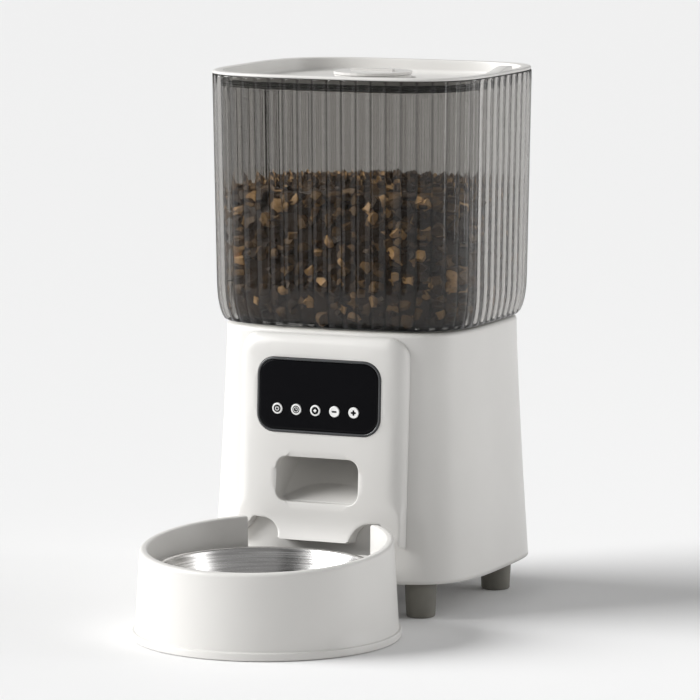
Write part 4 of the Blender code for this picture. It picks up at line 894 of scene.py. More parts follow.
def hoop(x, z, face, radius, width, thick, start=0.0, end=360.0, count=48):
    """A flat ring, or a part of one from start to end in degrees."""
    whole = end - start >= 360
    turn = np.radians(np.linspace(start, end, count, endpoint=not whole))
    section = [(radius - width, 0.0), (radius - width, thick), (radius, thick), (radius, 0.0)]
    rings = []
    for reach, depth in section:
        loop = np.column_stack([x + reach * np.cos(turn), z + reach * np.sin(turn)])
        rings.append(stood(loop, face + depth))
    points = np.array(rings)
    if whole:
        return skin(points[::-1], wrap_rows=True)
    return skin(points.transpose(1, 0, 2))


def plate(loop, face, thick):
    """A flat plate of the loop's outline, its front at y = face."""
    front = stood(loop, face)
    return skin(np.array([front + (0.0, thick, 0.0), front]))


def bar(x, z, face, width, height, thick):
    """A small flat bar with round ends."""
    return plate(rounded_rectangle(x, z, width, height, min(width, height) * 0.45, 5), face, thick)


def diamond(x, z, face, reach, thick):
    """A small square plate standing on its corner."""
    return plate(np.array([(x + reach, z), (x, z + reach), (x - reach, z), (x, z - reach)]), face, thick)


class BuildKeys(bpy.types.Operator):
    """Builds the five round keys and the plain sign on each."""

    bl_idname = "feeder.build_keys"
    bl_label = "Keys"

    def execute(self, context):
        radius = context.scene.feeder_display.key_radius
        for name, (x, z) in key_places().items():
            low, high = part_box(f"key_{name}")
            face, rear = low[1], high[1]
            edge = 0.35 * MM
            rounding = bend(radius - edge, face + edge, edge, -90, 0, 4)
            profile = [(0.01 * MM, face + 0.12 * MM), (radius * 0.8, face + 0.06 * MM)] + rounding
            profile += [(radius, rear), (0.01 * MM, rear)]
            cap = skin(turned(profile, 48, (x, z), "Y"))
            piece(f"key_cap_{name}", cap, f"key_{name}", "key_white", [f"key_{name}"], sharp=50)
            dark, light = sign(name, x, z, face - 0.02 * MM)
            piece(f"key_inlay_{name}", dark, f"key_{name}", "display_black", sharp=50)
            if light:
                piece(f"key_mark_{name}", light, f"key_{name}", "key_white", sharp=50)
        return {"FINISHED"}


INLAY_R = 2.35 * MM
INLAY_THICKNESS = 0.16 * MM
MARK_LIFT = 0.06 * MM


def sign(name, x, z, face):
    """A key's dark inlay and, on three keys, the light mark on it."""
    thick = INLAY_THICKNESS
    over = face - MARK_LIFT
    if name == "minus":
        return bar(x, z, face, 3.2 * MM, 1.0 * MM, thick), None
    if name == "plus":
        arms = [bar(x, z, face, 3.4 * MM, 1.1 * MM, thick), bar(x, z, face, 1.1 * MM, 3.4 * MM, thick)]
        return joined(*arms), None
    inlay = disc(x, z, face, INLAY_R, thick)
    if name == "power":
        mark = joined(
            hoop(x, z, over, 1.35 * MM, 0.45 * MM, thick, 125, 415, 30),
            bar(x, z + 0.75 * MM, over, 0.45 * MM, 1.3 * MM, thick),
        )
        return inlay, mark
    if name == "clock":
        ring = hoop(x, z, over, 1.75 * MM, 0.35 * MM, thick)
        minute = bar(x, z + 0.4 * MM, over, 0.4 * MM, 1.1 * MM, thick)
        hour = bar(x + 0.35 * MM, z, over, 1.0 * MM, 0.4 * MM, thick)
        return inlay, joined(ring, minute, hour)
    return inlay, diamond(x, z, over, 1.15 * MM, thick)


# ---------------------------------------------------------------- tank, food and lid
TANK_FOOT_Z = 177 * MM
FOOD_CORE_INSET = 3.6 * MM
TOP_SHARE = 0.3
PALE_SHARE = 0.11
OUTLINE_POINTS = 2000
POINTS_PER_FLUTE = 12
NECK_R = 33 * MM


def tank_half(z, sizes):
    """The tank's outer half width and half depth: a slight draft, and a foot that draws in roundly."""
    rise = np.clip((TANK_RIM_Z - z) / (TANK_RIM_Z - TANK_FOOT_Z), 0.0, 1.0)
    below = np.clip((TANK_FOOT_Z + sizes.foot_height - z) / sizes.foot_height, 0.0, 1.0)
    inset = sizes.draft * rise + sizes.foot_inset * (1 - np.sqrt(1 - 0.96 * below * below))
    return TANK_HIGH.x - inset, (TANK_HIGH.y - BASE_Y) - inset


def groove_share(count, flutes):
    """How near each of count points is to the valley between two flutes: 1 - |sin(pi * flutes * share)|."""
    return 1 - np.abs(np.sin(np.pi * flutes * (np.arange(count) / count)))


def fluted(wide, deep, z, count, flutes, depth, power):
    """A squircle whose outline is drawn in between convex flutes by depth * groove_share."""
    ring = squircle(wide, deep, z, count, power)
    along = np.roll(ring, -1, axis=0) - np.roll(ring, 1, axis=0)
    along /= np.linalg.norm(along, axis=1)[:, None]
    inward = np.stack([-along[:, 1], along[:, 0], np.zeros(count)], axis=1)
    return ring + inward * (depth * groove_share(count, flutes))[:, None]


class BuildTank(bpy.types.Operator):
    """Builds the smoked tank: flutes outside, smooth inside, a funnel floor and a neck."""

    bl_idname = "feeder.build_tank"
    bl_label = "Tank"

    def execute(self, context):
        sizes = context.scene.feeder_tank
        power = context.scene.feeder_base.corner_power
        flutes = sizes.flutes
        count = flutes * POINTS_PER_FLUTE
        wall = sizes.wall
        neck = NECK_R
        low = TANK_LOW.z
        outlet = [(neck - wall, low), (neck, low), (neck, low + 8 * MM)]
        outlet += [(neck, 172 * MM), (neck, 174 * MM), (39.5 * MM, 176 * MM)]
        rings = [circle_ring(radius, z, count) for radius, z in outlet]
        wide, deep = tank_half(TANK_FOOT_Z, sizes)
        for share, z in ((0.75, 176.5 * MM), (0.93, 176.7 * MM)):
            rings.append(squircle(wide * share, deep * share, z, count, 2.6 + share))
        steps = np.array((0, 0.015, 0.05, 0.1, 0.18, 0.28, 0.4, 0.55, 0.75, 1.0))
        climb = TANK_FOOT_Z + sizes.foot_height * steps
        heights = np.concatenate([climb, np.linspace(climb[-1], TANK_RIM_Z - 1.2 * MM, 9)[1:]])
        for z in heights:
            share = min(1.0, (z - TANK_FOOT_Z) / (5 * MM) + 0.35)
            rings.append(fluted(*tank_half(z, sizes), z, count, flutes, sizes.flute_depth * share, power))
        wide, deep = tank_half(TANK_RIM_Z, sizes)
        for inset, drop in ((0.12, 0.5), (0.5, 0.1), (0.8, 0.0)):
            z = TANK_RIM_Z - drop * MM
            depth = sizes.flute_depth * (1 - inset)
            rings.append(fluted(wide - inset * MM, deep - inset * MM, z, count, flutes, depth, power))
        rings.append(squircle(wide - wall + 0.3 * MM, deep - wall + 0.3 * MM, TANK_RIM_Z, count, power))
        for z in heights[::-1]:
            wide, deep = tank_half(z, sizes)
            rings.append(squircle(wide - wall, deep - wall, max(z, TANK_FOOT_Z + wall), count, power))
        for share in (0.93, 0.75):
            rings.append(squircle(wide * share, deep * share, TANK_FOOT_Z + wall, count, 2.6 + share))
        rings.append(circle_ring(38 * MM, 178.6 * MM, count))
        rings += [circle_ring(neck - wall, z, count) for z in (175 * MM, low + 8 * MM)]
        rings = np.array(rings)
        obj = piece("tank_fluted", skin(rings, wrap_rows=True), "tank", "smoked_clear", ["tank"], sharp=55)
        # Painted shade for the smoked finish: 1 in each valley between two flutes, 0 on the rings below the
        # tank's foot.
        groove_shade = np.tile(groove_share(count, flutes) ** 2, (len(rings), 1))
        groove_shade[rings[..., 2].mean(axis=1) < TANK_FOOT_Z] = 0.0
        paint(obj, "groove_shade", groove_shade)
        return {"FINISHED"}


def circle_ring(radius, z, count):
    """A circle about the base's middle, its points at the same turns as a squircle's."""
    return squircle(radius, radius, z, count, 2.0)


def dish(x, y, reach):
    """The food's surface above its level: a low mound over the middle with shallow hollows."""
    mound = 5 * MM * (1 - (x / reach) ** 2 - ((y - BASE_Y) / reach) ** 2)
    return mound + 1.2 * MM * np.sin(x / (13 * MM) + 0.6) * np.cos(y / (17 * MM))


class BuildFood(bpy.types.Operator):
    """Builds the dry food: a dark core, and many small baked pieces against the walls and on top."""

    bl_idname = "feeder.build_food"
    bl_label = "Food"

    pieces: IntProperty(name="Pieces", description="Number of pieces in the outer layers", default=2600)
    size: FloatProperty(name="Size", description="Width of a piece", default=9.2 * MM, unit="LENGTH")

    def execute(self, context):
        sizes = context.scene.feeder_tank
        power = context.scene.feeder_base.corner_power
        level = sizes.food_level
        floor = TANK_FOOT_Z + sizes.wall + 0.6 * MM
        count = 160
        inner = sizes.wall + 0.5 * MM
        rings = []
        foot_part, upper_part = (floor, floor + 20 * MM, 8), (floor + 26 * MM, level - 6 * MM, 6)
        back = inner + FOOD_CORE_INSET
        for z in np.concatenate([np.linspace(*foot_part), np.linspace(*upper_part)]):
            wide, deep = tank_half(z, sizes)
            rings.append(squircle(wide - back, deep - back, z, count, power))
        for share in (0.8, 0.5, 0.2):
            ring = squircle((wide - back) * share, (deep - back) * share, 0.0, count, power)
            ring[:, 2] = level - 5 * MM + dish(ring[:, 0], ring[:, 1], wide)
            rings.append(ring)
        piece("food_core", skin(np.array(rings)), "tank", None, finish="dry_food", sharp=180)
        shapes = kibble_shapes(self.size)
        rng = np.random.default_rng(7)
        total = self.pieces
        z = floor + self.size * 0.32 + (level - floor) * rng.random(total) ** 0.95
        turn = rng.random(total)
        deep_in = inner + self.size * (0.46 + 0.25 * rng.random(total))
        places = np.zeros((total, 3))
        rim = squircle(1.0, 1.0, 0.0, OUTLINE_POINTS, power, 0.0)[:, :2]
        spot = rim[(turn * OUTLINE_POINTS).astype(int)]
        wide, deep = tank_half(z, sizes)
        places[:, 0] = spot[:, 0] * (wide - deep_in)
        places[:, 1] = spot[:, 1] * (deep - deep_in) + BASE_Y
        places[:, 2] = z
        top = int(total * TOP_SHARE)
        wide, deep = tank_half(level, sizes)
        spread = np.sqrt(rng.random(top))
        places[:top, 0] = spot[:top, 0] * spread * (wide - deep_in[:top])
        places[:top, 1] = spot[:top, 1] * spread * (deep - deep_in[:top]) + BASE_Y
        lift = dish(places[:top, 0], places[:top, 1], wide)
        places[:top, 2] = level + lift - self.size * 0.5 * rng.random(top)
        under = dish(places[:, 0], places[:, 1], wide) + level
        places[:, 2] = np.minimum(places[:, 2], under)
        spin = turns(rng.normal(size=(total, 4)))
        scale = 0.85 + 0.3 * rng.random(total)
        kind = rng.integers(0, len(shapes), total)
        pale = rng.random(total) < PALE_SHARE
        light, dark = 0.6 + 0.4 * rng.random(total), 0.34 * rng.random(total) ** 2.5
        tone = np.where(pale, light, dark)
        points, faces, tones = [], [], []
        start = 0
        for number, (local, corners) in enumerate(shapes):
            chosen = np.flatnonzero(kind == number)
            moved = np.einsum("nij,vj->nvi", spin[chosen], local) * scale[chosen, None, None]
            moved += places[chosen][:, None, :]
            points.append(moved.reshape(-1, 3))
            offset = start + np.arange(len(chosen))[:, None, None] * len(local)
            faces += (corners[None] + offset).reshape(-1, corners.shape[1]).tolist()
            tones.append(np.repeat(tone[chosen], len(local)))
            start += len(chosen) * len(local)
        points = np.concatenate(points)
        obj = piece("food_pieces", (points, faces), "tank", None, finish="dry_food", sharp=50)
        paint(obj, "tone", np.concatenate(tones))
        return {"FINISHED"}


def turns(quaternions):
    """Rotation matrices of unit quaternions (w, x, y, z), an array of shape (n, 3, 3)."""
    w, x, y, z = (quaternions / np.linalg.norm(quaternions, axis=1)[:, None]).T
    rows = [1 - 2 * (y * y + z * z), 2 * (x * y - w * z), 2 * (x * z + w * y)]
    rows += [2 * (x * y + w * z), 1 - 2 * (x * x + z * z), 2 * (y * z - w * x)]
    rows += [2 * (x * z - w * y), 2 * (y * z + w * x), 1 - 2 * (x * x + y * y)]
    return np.stack(rows, axis=1).reshape(-1, 3, 3)


def kibble_shapes(size):
    """Small baked shapes of a few dozen triangles: a star, a cross, a disc and a cushion. Each is an
    outline r = size/2 * (1 + swell * cos(lobes * turn)) in three layers with closed ends."""
    kinds = ((5, 0.22, 0.42, 10), (4, 0.25, 0.45, 8), (0, 0.0, 0.5, 8), (3, 0.1, 0.6, 6))
    shapes = []
    for lobes, swell, thick, count in kinds:
        turn = np.linspace(0, 2 * np.pi, count, endpoint=False)
        reach = size / 2 * (1 + swell * np.cos(lobes * turn)) / (1 + swell)
        layers = []
        for share, z in ((0.78, -0.5), (1.0, 0.0), (0.78, 0.5)):
            height = np.full(count, z * thick * size)
            across, along = reach * share * np.cos(turn), reach * share * np.sin(turn)
            layers.append(np.stack([across, along, height], axis=1))
        points, corners = skin(np.array(layers))
        triangles = []
        for face in corners:
            triangles.append(face[:3])
            if len(face) == 4:
                triangles.append([face[0], face[2], face[3]])
        shapes.append((points, np.array(triangles)))
    return shapes


class BuildLid(bpy.types.Operator):
    """Builds the lid: a tray with a hole for the drying cup and a round-edged flange, a finger tab on
    the flange, and the seal under it."""

    bl_idname = "feeder.build_lid"
    bl_label = "Lid and seal"

    def execute(self, context):
        sizes = context.scene.feeder_tank
        power = context.scene.feeder_base.corner_power
        low, high = (Vector(corner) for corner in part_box("lid"))
        seat = TANK_RIM_Z + GAP
        sheet = 1.8 * MM
        top = seat + sheet
        tray = low.z
        wide, deep = high.x, high.y - BASE_Y
        skirt = sizes.wall + 2.0 * MM
        count = 256
        bendy = 4 * MM

        def ring(inset, z):
            """The lid's outline drawn in by inset."""
            return squircle(wide - inset, deep - inset, z, count, power)

        hole = 24.3 * MM
        edge = 1.2 * MM
        arc = np.radians((0, 25, 50, 75, 90))
        rings = [circle_ring(hole, tray, count), ring(skirt + 3 * bendy, tray)]
        rings += [ring(skirt + bendy * (1 - math.sin(a)), tray + bendy * (1 - math.cos(a))) for a in arc]
        under = [(skirt, -0.2), (skirt - 0.2 * MM, 0.0), (0.6 * MM, 0.0), (0.1 * MM, 0.1), (0.0, 0.4)]
        rings += [ring(inset, seat + up * MM) for inset, up in under]
        rings += [ring(edge * (1 - math.cos(a)), top - edge * (1 - math.sin(a))) for a in arc]
        inner = skirt + sheet
        rings += [ring(inner - 1.5 * MM, top), ring(inner - 0.4 * MM, top - GAP), ring(inner, top - edge)]
        bent = bendy - sheet
        for a in np.radians((0, 30, 60, 90)):
            rings.append(ring(inner + bent * (1 - math.cos(a)), tray + bendy - bent * math.sin(a)))
        rings += [ring(inner + 3 * bendy, tray + sheet), circle_ring(hole, tray + sheet, count)]
        tray_shape = skin(np.array(rings), wrap_rows=True)
        tab = lid_tab(wide, top, sizes)
        piece("lid_tray", joined(tray_shape, tab), "lid", "white_plastic", ["lid"], sharp=45)
        low, high = (Vector(corner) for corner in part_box("lid_seal"))
        outer = high.x - 0.1 * MM
        depth = high.y - BASE_Y - 0.1 * MM
        rings = []
        lips = [(1.8, 0.0), (0.25, 0.0), (0.0, 0.25), (0.0, 0.75), (0.35, 1.1), (0.35, 1.5), (0.0, 1.85)]
        lips += [(0.0, 2.4), (0.35, 2.75), (0.35, 3.1), (0.0, 3.45), (0.0, 3.8), (0.25, 4.0), (1.8, 4.0)]
        for inset, z in lips:
            z = low.z + (high.z - low.z) * z / 4
            rings.append(squircle(outer - inset * MM, depth - inset * MM, z, count, power))
        seal = skin(np.array(rings), wrap_rows=True)
        piece("seal_ring", seal, "lid", "seal_rubber", ["lid_seal"], sharp=45)
        return {"FINISHED"}


def lid_tab(wide, top, sizes):
    """A wedge for a fingertip near the right edge: its top rises by a smooth step from front to back."""
    steps = np.linspace(0, 1, 18)
    reach, rise = 25 * MM, 2.6 * MM
    y = BASE_Y - reach / 2 + reach * steps
    climb = np.clip(steps / 0.86, 0, 1)
    z = top + rise * climb * climb * (3 - 2 * climb)
    rings = []
    for inset, drop in ((0.0, 3.0), (0.0, 0.5), (0.15, 0.15), (0.5, 0.0)):
        rings.append((wide - 8.6 * MM + inset * MM, wide - 1.1 * MM - inset * MM, drop * MM))
    sides = [(left, drop) for left, _, drop in rings] + [(right, drop) for _, right, drop in rings[::-1]]
    low = top - 0.6 * MM
    loop = [np.column_stack([np.full(len(y), x), y, np.maximum(z - drop, low)]) for x, drop in sides]
    return skin(np.array(loop).transpose(1, 0, 2))


# ---------------------------------------------------------------- bowl and holder
def holder_ring(radius, z, tilt, count, stretch):
    """A half circle in front and a longer half ellipse behind; tilt raises the rear."""
    turn = np.linspace(0, 2 * np.pi, count, endpoint=False)
    reach = np.where(np.sin(turn) > 0, radius + stretch, radius)
    y = reach * np.sin(turn)
    share = (y + HOLDER_RIM_R) / (2 * HOLDER_RIM_R)
    return np.stack([radius * np.cos(turn), HOLDER_Y + y, z + tilt * share], axis=1)


def block(low, high):
    """A box's points and faces."""
    x, y, z = zip(low, high)
    points = [(x[0], y[0], z[0]), (x[1], y[0], z[0]), (x[1], y[1], z[0]), (x[0], y[1], z[0])]
    points += [(a, b, z[1]) for a, b, _ in points]
    faces = [[0, 3, 2, 1], [4, 5, 6, 7], [0, 1, 5, 4], [1, 2, 6, 5], [2, 3, 7, 6], [3, 0, 4, 7]]
    return np.array(points), faces


def combine(obj, other, operation):
    """Applies one Boolean and removes the helper."""
    step = obj.modifiers.new("combine", "BOOLEAN")
    step.operation = operation
    step.object = other
    step.solver = "MANIFOLD"
    graph = bpy.context.evaluated_depsgraph_get()
    mesh = bpy.data.meshes.new_from_object(obj.evaluated_get(graph))
    obj.modifiers.remove(step)
    obj.data = mesh
    bpy.data.objects.remove(other)


class BuildHolder(bpy.types.Operator):
    """Builds the bowl holder: a drum with a rolled rim that rises towards the base, a foot flange, a
    ledge for the bowl, and the openings for the cover's tongue and the chute."""

    bl_idname = "feeder.build_holder"
    bl_label = "Bowl holder"

    def execute(self, context):
        sizes = context.scene.feeder_bowl
        base = context.scene.feeder_base
        tilt = sizes.rear_z - sizes.front_z
        rim_r = HOLDER_RIM_R / MM
        flange = FLANGE_R / MM
        count = 240

        def ring(radius, z, share=1.0):
            """A ring of the holder, in millimetres, that takes this share of the rim's tilt."""
            return holder_ring(radius * MM, z * MM, tilt * share, count, sizes.stretch)

        front = sizes.front_z / MM
        foot = [(77.8, 0.3), (flange - 0.5, 0.3), (flange, 0.8), (flange, 4.2), (flange - 0.25, 4.75)]
        foot += [(flange - 0.9, 5.0), (79.3, 5.1)]
        rings = [ring(radius, z, 0) for radius, z in foot] + [ring(78.95, 5.5, 0.02)]
        for share in (0.2, 0.4, 0.6, 0.8, 0.95):
            z = 5.5 + (front - 7.0) * share
            rings.append(ring(79.0 - 3.0 * share, z, share))
        outside, within_edge = 2.1, 1.2
        for a in np.radians((0, 20, 40, 60, 80, 90)):
            rings.append(ring(rim_r - outside * (1 - math.cos(a)), front - outside * (1 - math.sin(a))))
        inner = rim_r - sizes.rim_wall / MM
        for a in np.radians((0, 30, 60, 90)):
            fall = within_edge * (1 - math.cos(a))
            rings.append(ring(inner + within_edge * (1 - math.sin(a)), front - fall))
        ledge = 41.9
        within = [(inner, ledge + 0.4), (inner - 0.3, ledge), (64.2, ledge), (63.9, ledge - 0.4)]
        within += [(63.9, ledge - 2.2), (64.2, ledge - 2.5), (72.6, ledge - 2.5), (74.0, ledge - 6.0)]
        within += [(76.2, 8.0), (76.6, 3.8), (76.0, 3.5), (55.0, 3.5), (54.9, 1.5), (76.0, 1.5), (77.6, 1.2)]
        rings += [ring(radius, z, 0) for radius, z in within]
        body = shaped("holder_form", skin(np.array(rings), wrap_rows=True))
        cut_y = HOLDER_HIGH.y
        combine(body, shaped("trim", block((-0.12, cut_y, -0.02), (0.12, 0.12, 0.12))), "DIFFERENCE")
        outline = cover_outline(base) * (1.01, 1.0) - (0.0, 1 * MM)
        reach = base.lip_reach + 2 * MM
        near = front_y(0.0, 60 * MM, base.cover_proud, base) - reach
        combine(body, shaped("room", prism(outline, near, 0.06)), "DIFFERENCE")
        half_gap, sill = 43.5 * MM, 34.5 * MM
        passage = block((-half_gap, near, sill), (half_gap, 0.05, 0.12))
        combine(body, shaped("passage", passage), "DIFFERENCE")
        mesh = body.data
        points = np.empty(len(mesh.vertices) * 3, np.float32)
        mesh.vertices.foreach_get("co", points)
        faces = [list(face.vertices) for face in mesh.polygons]
        bpy.data.objects.remove(body)
        tongue_half, tongue_low, tongue_high = 22 * MM, 16 * MM, 21.5 * MM
        tongue = block((-tongue_half, cut_y - 3 * MM, tongue_low), (tongue_half, cut_y, tongue_high))
        shape = joined((points.reshape(-1, 3), faces), tongue)
        piece("holder_body", shape, "holder", "white_plastic", ["bowl_holder"], sharp=35, weld=True)
        return {"FINISHED"}


def prism(outline, near, far):
    """The outline in X and Z carried from y = near to y = far."""
    front = stood(outline, near)
    rear = front + (0.0, far - near, 0.0)
    count = len(outline)
    ring = np.arange(count)
    after = np.roll(ring, -1)
    sides = np.stack([after, ring, ring + count, after + count], axis=1).tolist()
    faces = [ring.tolist(), (ring[::-1] + count).tolist()] + sides
    return np.concatenate([front, rear]), faces


class BuildBowl(bpy.types.Operator):
    """Builds the steel bowl: a flat rolled rim, a steep side and a flat floor with a soft bend."""

    bl_idname = "feeder.build_bowl"
    bl_label = "Steel bowl"

    def execute(self, context):
        sizes = context.scene.feeder_bowl
        rim = BOWL_R
        top = BOWL_HIGH.z
        sheet = sizes.bowl_sheet
        low = top - sizes.bowl_depth
        edge = 3.5 * MM
        floor_r, curve = 50 * MM, 9 * MM
        side = rim - edge
        spread = 4 * MM
        heel = floor_r - curve
        under = [(ON_AXIS, low)]
        for a in np.radians((0, 12, 24, 36, 48, 60, 72, 82)):
            under.append((heel + curve * math.sin(a) + spread * math.sin(a), low + curve * (1 - math.cos(a))))
        base_x, base_z = under[-1]
        for share in (0.25, 0.5, 0.75, 1.0):
            under.append((base_x + (side - base_x) * share, base_z + (top - 1.9 * MM - base_z) * share))
        under += [(side + 0.3 * MM, top - 1.2 * MM), (side + 0.9 * MM, top - sheet)]
        rolled = [(0.5, 1.0), (0.1, 0.8), (0.0, 0.5), (0.1, 0.15), (0.5, 0.0)]
        over = [(rim - inset * MM, top - sheet * share) for inset, share in rolled]
        over += [(side + 0.8 * MM, top), (side, top - 0.35 * MM), (side - 0.5 * MM, top - 1.2 * MM)]
        for share in (0.25, 0.5, 0.75, 1.0):
            x = side - sheet + (base_x - side) * share
            over.append((x, top - 1.8 * MM + (base_z + sheet * 0.3 - top + 1.8 * MM) * share))
        for a in np.radians((72, 60, 48, 36, 24, 12, 0)):
            x = heel + (curve + spread - sheet) * math.sin(a)
            over.append((x, low + sheet + (curve - sheet * 0.7) * (1 - math.cos(a))))
        over += [(floor_r * 0.5, low + sheet), (ON_AXIS, low + sheet)]
        shape = skin(turned(under + over, 160, (0.0, BOWL_Y)))
        piece("bowl_steel", shape, "bowl", "brushed_bowl_steel", ["steel_bowl"], sharp=60)
        return {"FINISHED"}


# ---------------------------------------------------------------- feet and socket
class BuildFeet(bpy.types.Operator):
    """Builds the four round feet with soft edges."""

    bl_idname = "feeder.build_feet"
    bl_label = "Feet"

    def execute(self, context):
        for name in FEET:
            low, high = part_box(f"foot_{name}")
            x, y = (low[0] + high[0]) / 2, (low[1] + high[1]) / 2
            radius = (high[0] - low[0]) / 2
            edge = 1.4 * MM
            profile = [(ON_AXIS, 0.0), (radius - 2.6 * MM, 0.0)]
            for a in np.radians((15, 35, 55, 75, 90)):
                profile.append((radius - 2.4 * MM + edge * math.sin(a), edge * (1 - math.cos(a))))
            profile += [(radius - inset * MM, z * MM) for inset, z in ((0.5, 11), (0.05, 21.4), (0.4, 21.9))]
            profile.append((3.9 * MM, 22 * MM))
            profile += profiled(high[2], (3.9, -0.4), (3.5, 0.0), (0.02, 0.0))
            shape = skin(turned(profile, 56, (x, y)))
            piece(f"fine_foot_{name}", shape, "base", "foot_taupe", [f"foot_{name}"], sharp=50)
        return {"FINISHED"}


class BuildSocket(bpy.types.Operator):
    """Builds the round power inlet at the back with its centre pin."""

    bl_idname = "feeder.build_socket"
    bl_label = "Power inlet"

    def execute(self, context):
        low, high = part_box("power_socket")
        z = (low[2] + high[2]) / 2
        end = high[1]
        start = low[1]
        profile = profiled(start, (0.02, 0.0), (5.6, 0.0), (5.8, 0.3))
        profile += profiled(end, (5.8, -1.4), (7.8, -1.4), (7.95, -0.8), (7.6, -0.1), (7.3, 0.0))
        profile += profiled(end, (3.6, 0.0), (3.25, -0.4)) + profiled(start, (3.2, 1.6), (0.9, 1.6))
        profile += profiled(end, (0.9, -9.2), (0.6, -8.8), (0.02, -8.8))
        points = turned(profile, 56, (0.0, z), "Y")
        piece("fine_socket", skin(points), "base", "plated_metal", ["power_socket"], sharp=45)
        return {"FINISHED"}


class FinishFrame(bpy.types.Operator):
    """Gives every node of the frame that still shows the procedural finish of its slot."""

    bl_idname = "feeder.finish_frame"
    bl_label = "Frame finishes"

    def execute(self, context):
        slots = {row["node"]: row["material_slot"] for row in frame["record"]["subparts"]}
        for name, node in frame["nodes"].items():
            if node.hide_render:
                continue
            node.data.materials.clear()
            node.data.materials.append(finish_named(slots[name]))
            node.data.shade_smooth()
            node.data.set_sharp_from_angle(angle=math.radians(30))
        return {"FINISHED"}


# ---------------------------------------------------------------- stage
def lamp(name, kind, energy, place, target, **settings):
    """A light that stands at place and looks at target."""
    data = bpy.data.lights.new(name, kind)
    data.energy = energy
    for key, value in settings.items():
        setattr(data, key, value)
    obj = bpy.data.objects.new(name, data)
    obj.location = place
    obj.rotation_euler = (Vector(target) - Vector(place)).to_track_quat("-Z", "Y").to_euler()
    bpy.context.scene.collection.objects.link(obj)
    return obj


CAMERA_AZIMUTH = math.radians(23.65)
CAMERA_PITCH = math.radians(7.47)
CAMERA_AWAY = 3.0
CAMERA_LENS = 245.9
FLOOR_RADIUS = 9.0
FLOOR_CORNERS = 96
ORIGIN = (0.0, 0.0, 0.0)


def card_shape(middle, width, height):
    """An upright rectangle whose face looks at the object's axis."""
    away = Vector((middle[0], middle[1], 0.0)).normalized()
    across = Vector((-away.y, away.x, 0.0)) * (width / 2)
    rise = Vector((0.0, 0.0, height / 2))
    middle = Vector(middle)
    corners = [middle - across - rise, middle - across + rise, middle + across + rise, middle + across - rise]
    return np.array([tuple(corner) for corner in corners]), [[0, 1, 2, 3]]


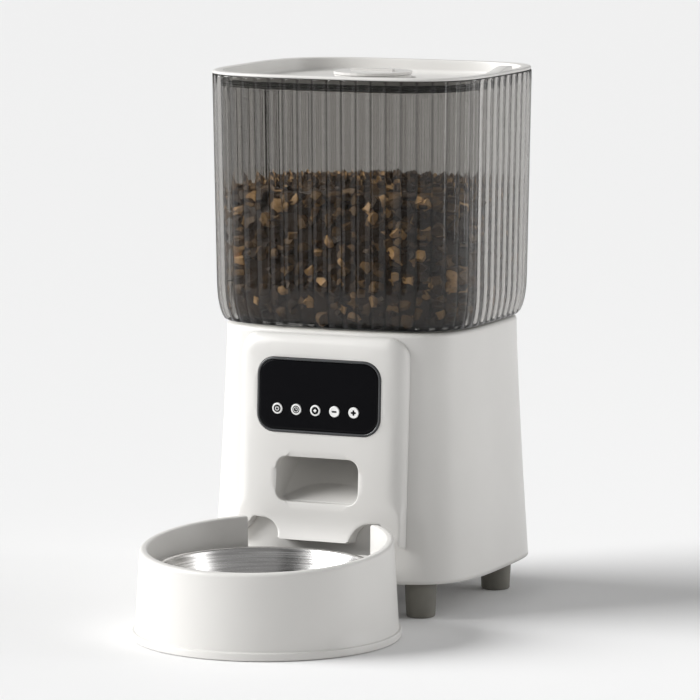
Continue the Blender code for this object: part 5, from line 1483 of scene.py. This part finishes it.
class SetStage(bpy.types.Operator):
    """Sets a plain pale floor, soft studio light and the camera."""

    bl_idname = "feeder.set_stage"
    bl_label = "Stage"

    def execute(self, context):
        scene = context.scene
        world = bpy.data.worlds.new("studio")
        world.use_nodes = True
        background = world.node_tree.nodes["Background"]
        background.inputs["Color"].default_value = (1.0, 1.0, 1.0, 1.0)
        background.inputs["Strength"].default_value = 0.3
        scene.world = world
        ring = circle(0.0, 0.0, FLOOR_RADIUS, FLOOR_CORNERS)
        points = np.column_stack([ring, np.zeros(FLOOR_CORNERS)])
        floor = shaped("floor", (points, [list(range(FLOOR_CORNERS))]))
        pale = Finish("floor", base_color=(0.84, 0.84, 0.84), roughness=0.75, specular_ior_level=0.1)
        pale.feed("Roughness", 0.7 + 0.1 * pale.noise(30.0))
        floor.data.materials.append(pale.material)
        lamp("key", "SUN", 4.3, (-0.79, -0.352, 0.50), ORIGIN, angle=math.radians(42))
        lamp("side", "SUN", 0.8, (0.77, 0.54, 0.34), ORIGIN, angle=math.radians(60))
        upright = {"shape": "RECTANGLE", "size": 0.25, "size_y": 1.5}
        lamp("edge", "AREA", 4.0, (1.6, 0.5, 0.55), (0.0, 0.03, 0.15), **upright)
        # Seen only in reflections, where it darkens the gloss as the studio's far side would.
        card = shaped("dark_card", card_shape((-0.40, -0.92, 0.62), 0.9, 1.2))
        card.visible_shadow = False
        card.visible_diffuse = False
        card.visible_camera = False
        card.visible_transmission = False
        card.data.materials.append(Finish("card", base_color=(0.03, 0.03, 0.03), roughness=0.9).material)
        right = Vector((math.cos(CAMERA_AZIMUTH), math.sin(CAMERA_AZIMUTH), 0.0))
        level = math.cos(CAMERA_PITCH)
        ahead = (math.sin(CAMERA_AZIMUTH) * level, -math.cos(CAMERA_AZIMUTH) * level)
        out = Vector((*ahead, math.sin(CAMERA_PITCH)))
        up = out.cross(right)
        target = Vector((0.0, 0.07695, 0.170)) - 0.01346 * right - 0.01529 * up
        data = bpy.data.cameras.new("camera")
        data.lens = CAMERA_LENS
        data.sensor_width = 36.0
        data.clip_start = 0.1
        camera = bpy.data.objects.new("camera", data)
        camera.location = target + CAMERA_AWAY * out
        camera.rotation_euler = (-out).to_track_quat("-Z", "Y").to_euler()
        scene.collection.objects.link(camera)
        scene.camera = camera
        scene.view_settings.view_transform = "Standard"
        return {"FINISHED"}


# ---------------------------------------------------------------- panel and registration
class FeederPanel(bpy.types.Panel):
    """The feeder's sizes, colours and build steps."""

    bl_idname = "VIEW3D_PT_feeder"
    bl_label = "Pet Feeder"
    bl_space_type = "VIEW_3D"
    bl_region_type = "UI"
    bl_category = "Pet Feeder"

    def draw(self, context):
        for name in GROUPS:
            group = getattr(context.scene, name)
            box = self.layout.box()
            box.label(text=name.replace("_", " ").capitalize())
            for key in group.__annotations__:
                box.prop(group, key)
        for step in STEPS:
            self.layout.operator(step.bl_idname, text=step.bl_label)


GROUPS = {
    "feeder_base": BaseSizes,
    "feeder_display": DisplaySizes,
    "feeder_tank": TankSizes,
    "feeder_bowl": BowlSizes,
    "feeder_colours": FinishColours,
}
STEPS = (
    BuildBase,
    BuildCover,
    BuildChute,
    BuildDisplay,
    BuildKeys,
    BuildTank,
    BuildFood,
    BuildLid,
    BuildHolder,
    BuildBowl,
    BuildFeet,
    BuildSocket,
    FinishFrame,
    SetStage,
)


def register():
    """Adds the classes and one group of properties for each kind of piece."""
    for kind in (*GROUPS.values(), *STEPS, FeederPanel):
        bpy.utils.register_class(kind)
    for name, kind in GROUPS.items():
        setattr(bpy.types.Scene, name, PointerProperty(type=kind))


def unregister():
    """Takes out what register added."""
    for name in GROUPS:
        delattr(bpy.types.Scene, name)
    for kind in (FeederPanel, *reversed(STEPS), *GROUPS.values()):
        bpy.utils.unregister_class(kind)


def main():
    """Runs every step in order."""
    register()
    for step in STEPS:
        area, name = step.bl_idname.split(".")
        getattr(getattr(bpy.ops, area), name)()


if __name__ == "__main__":
    main()
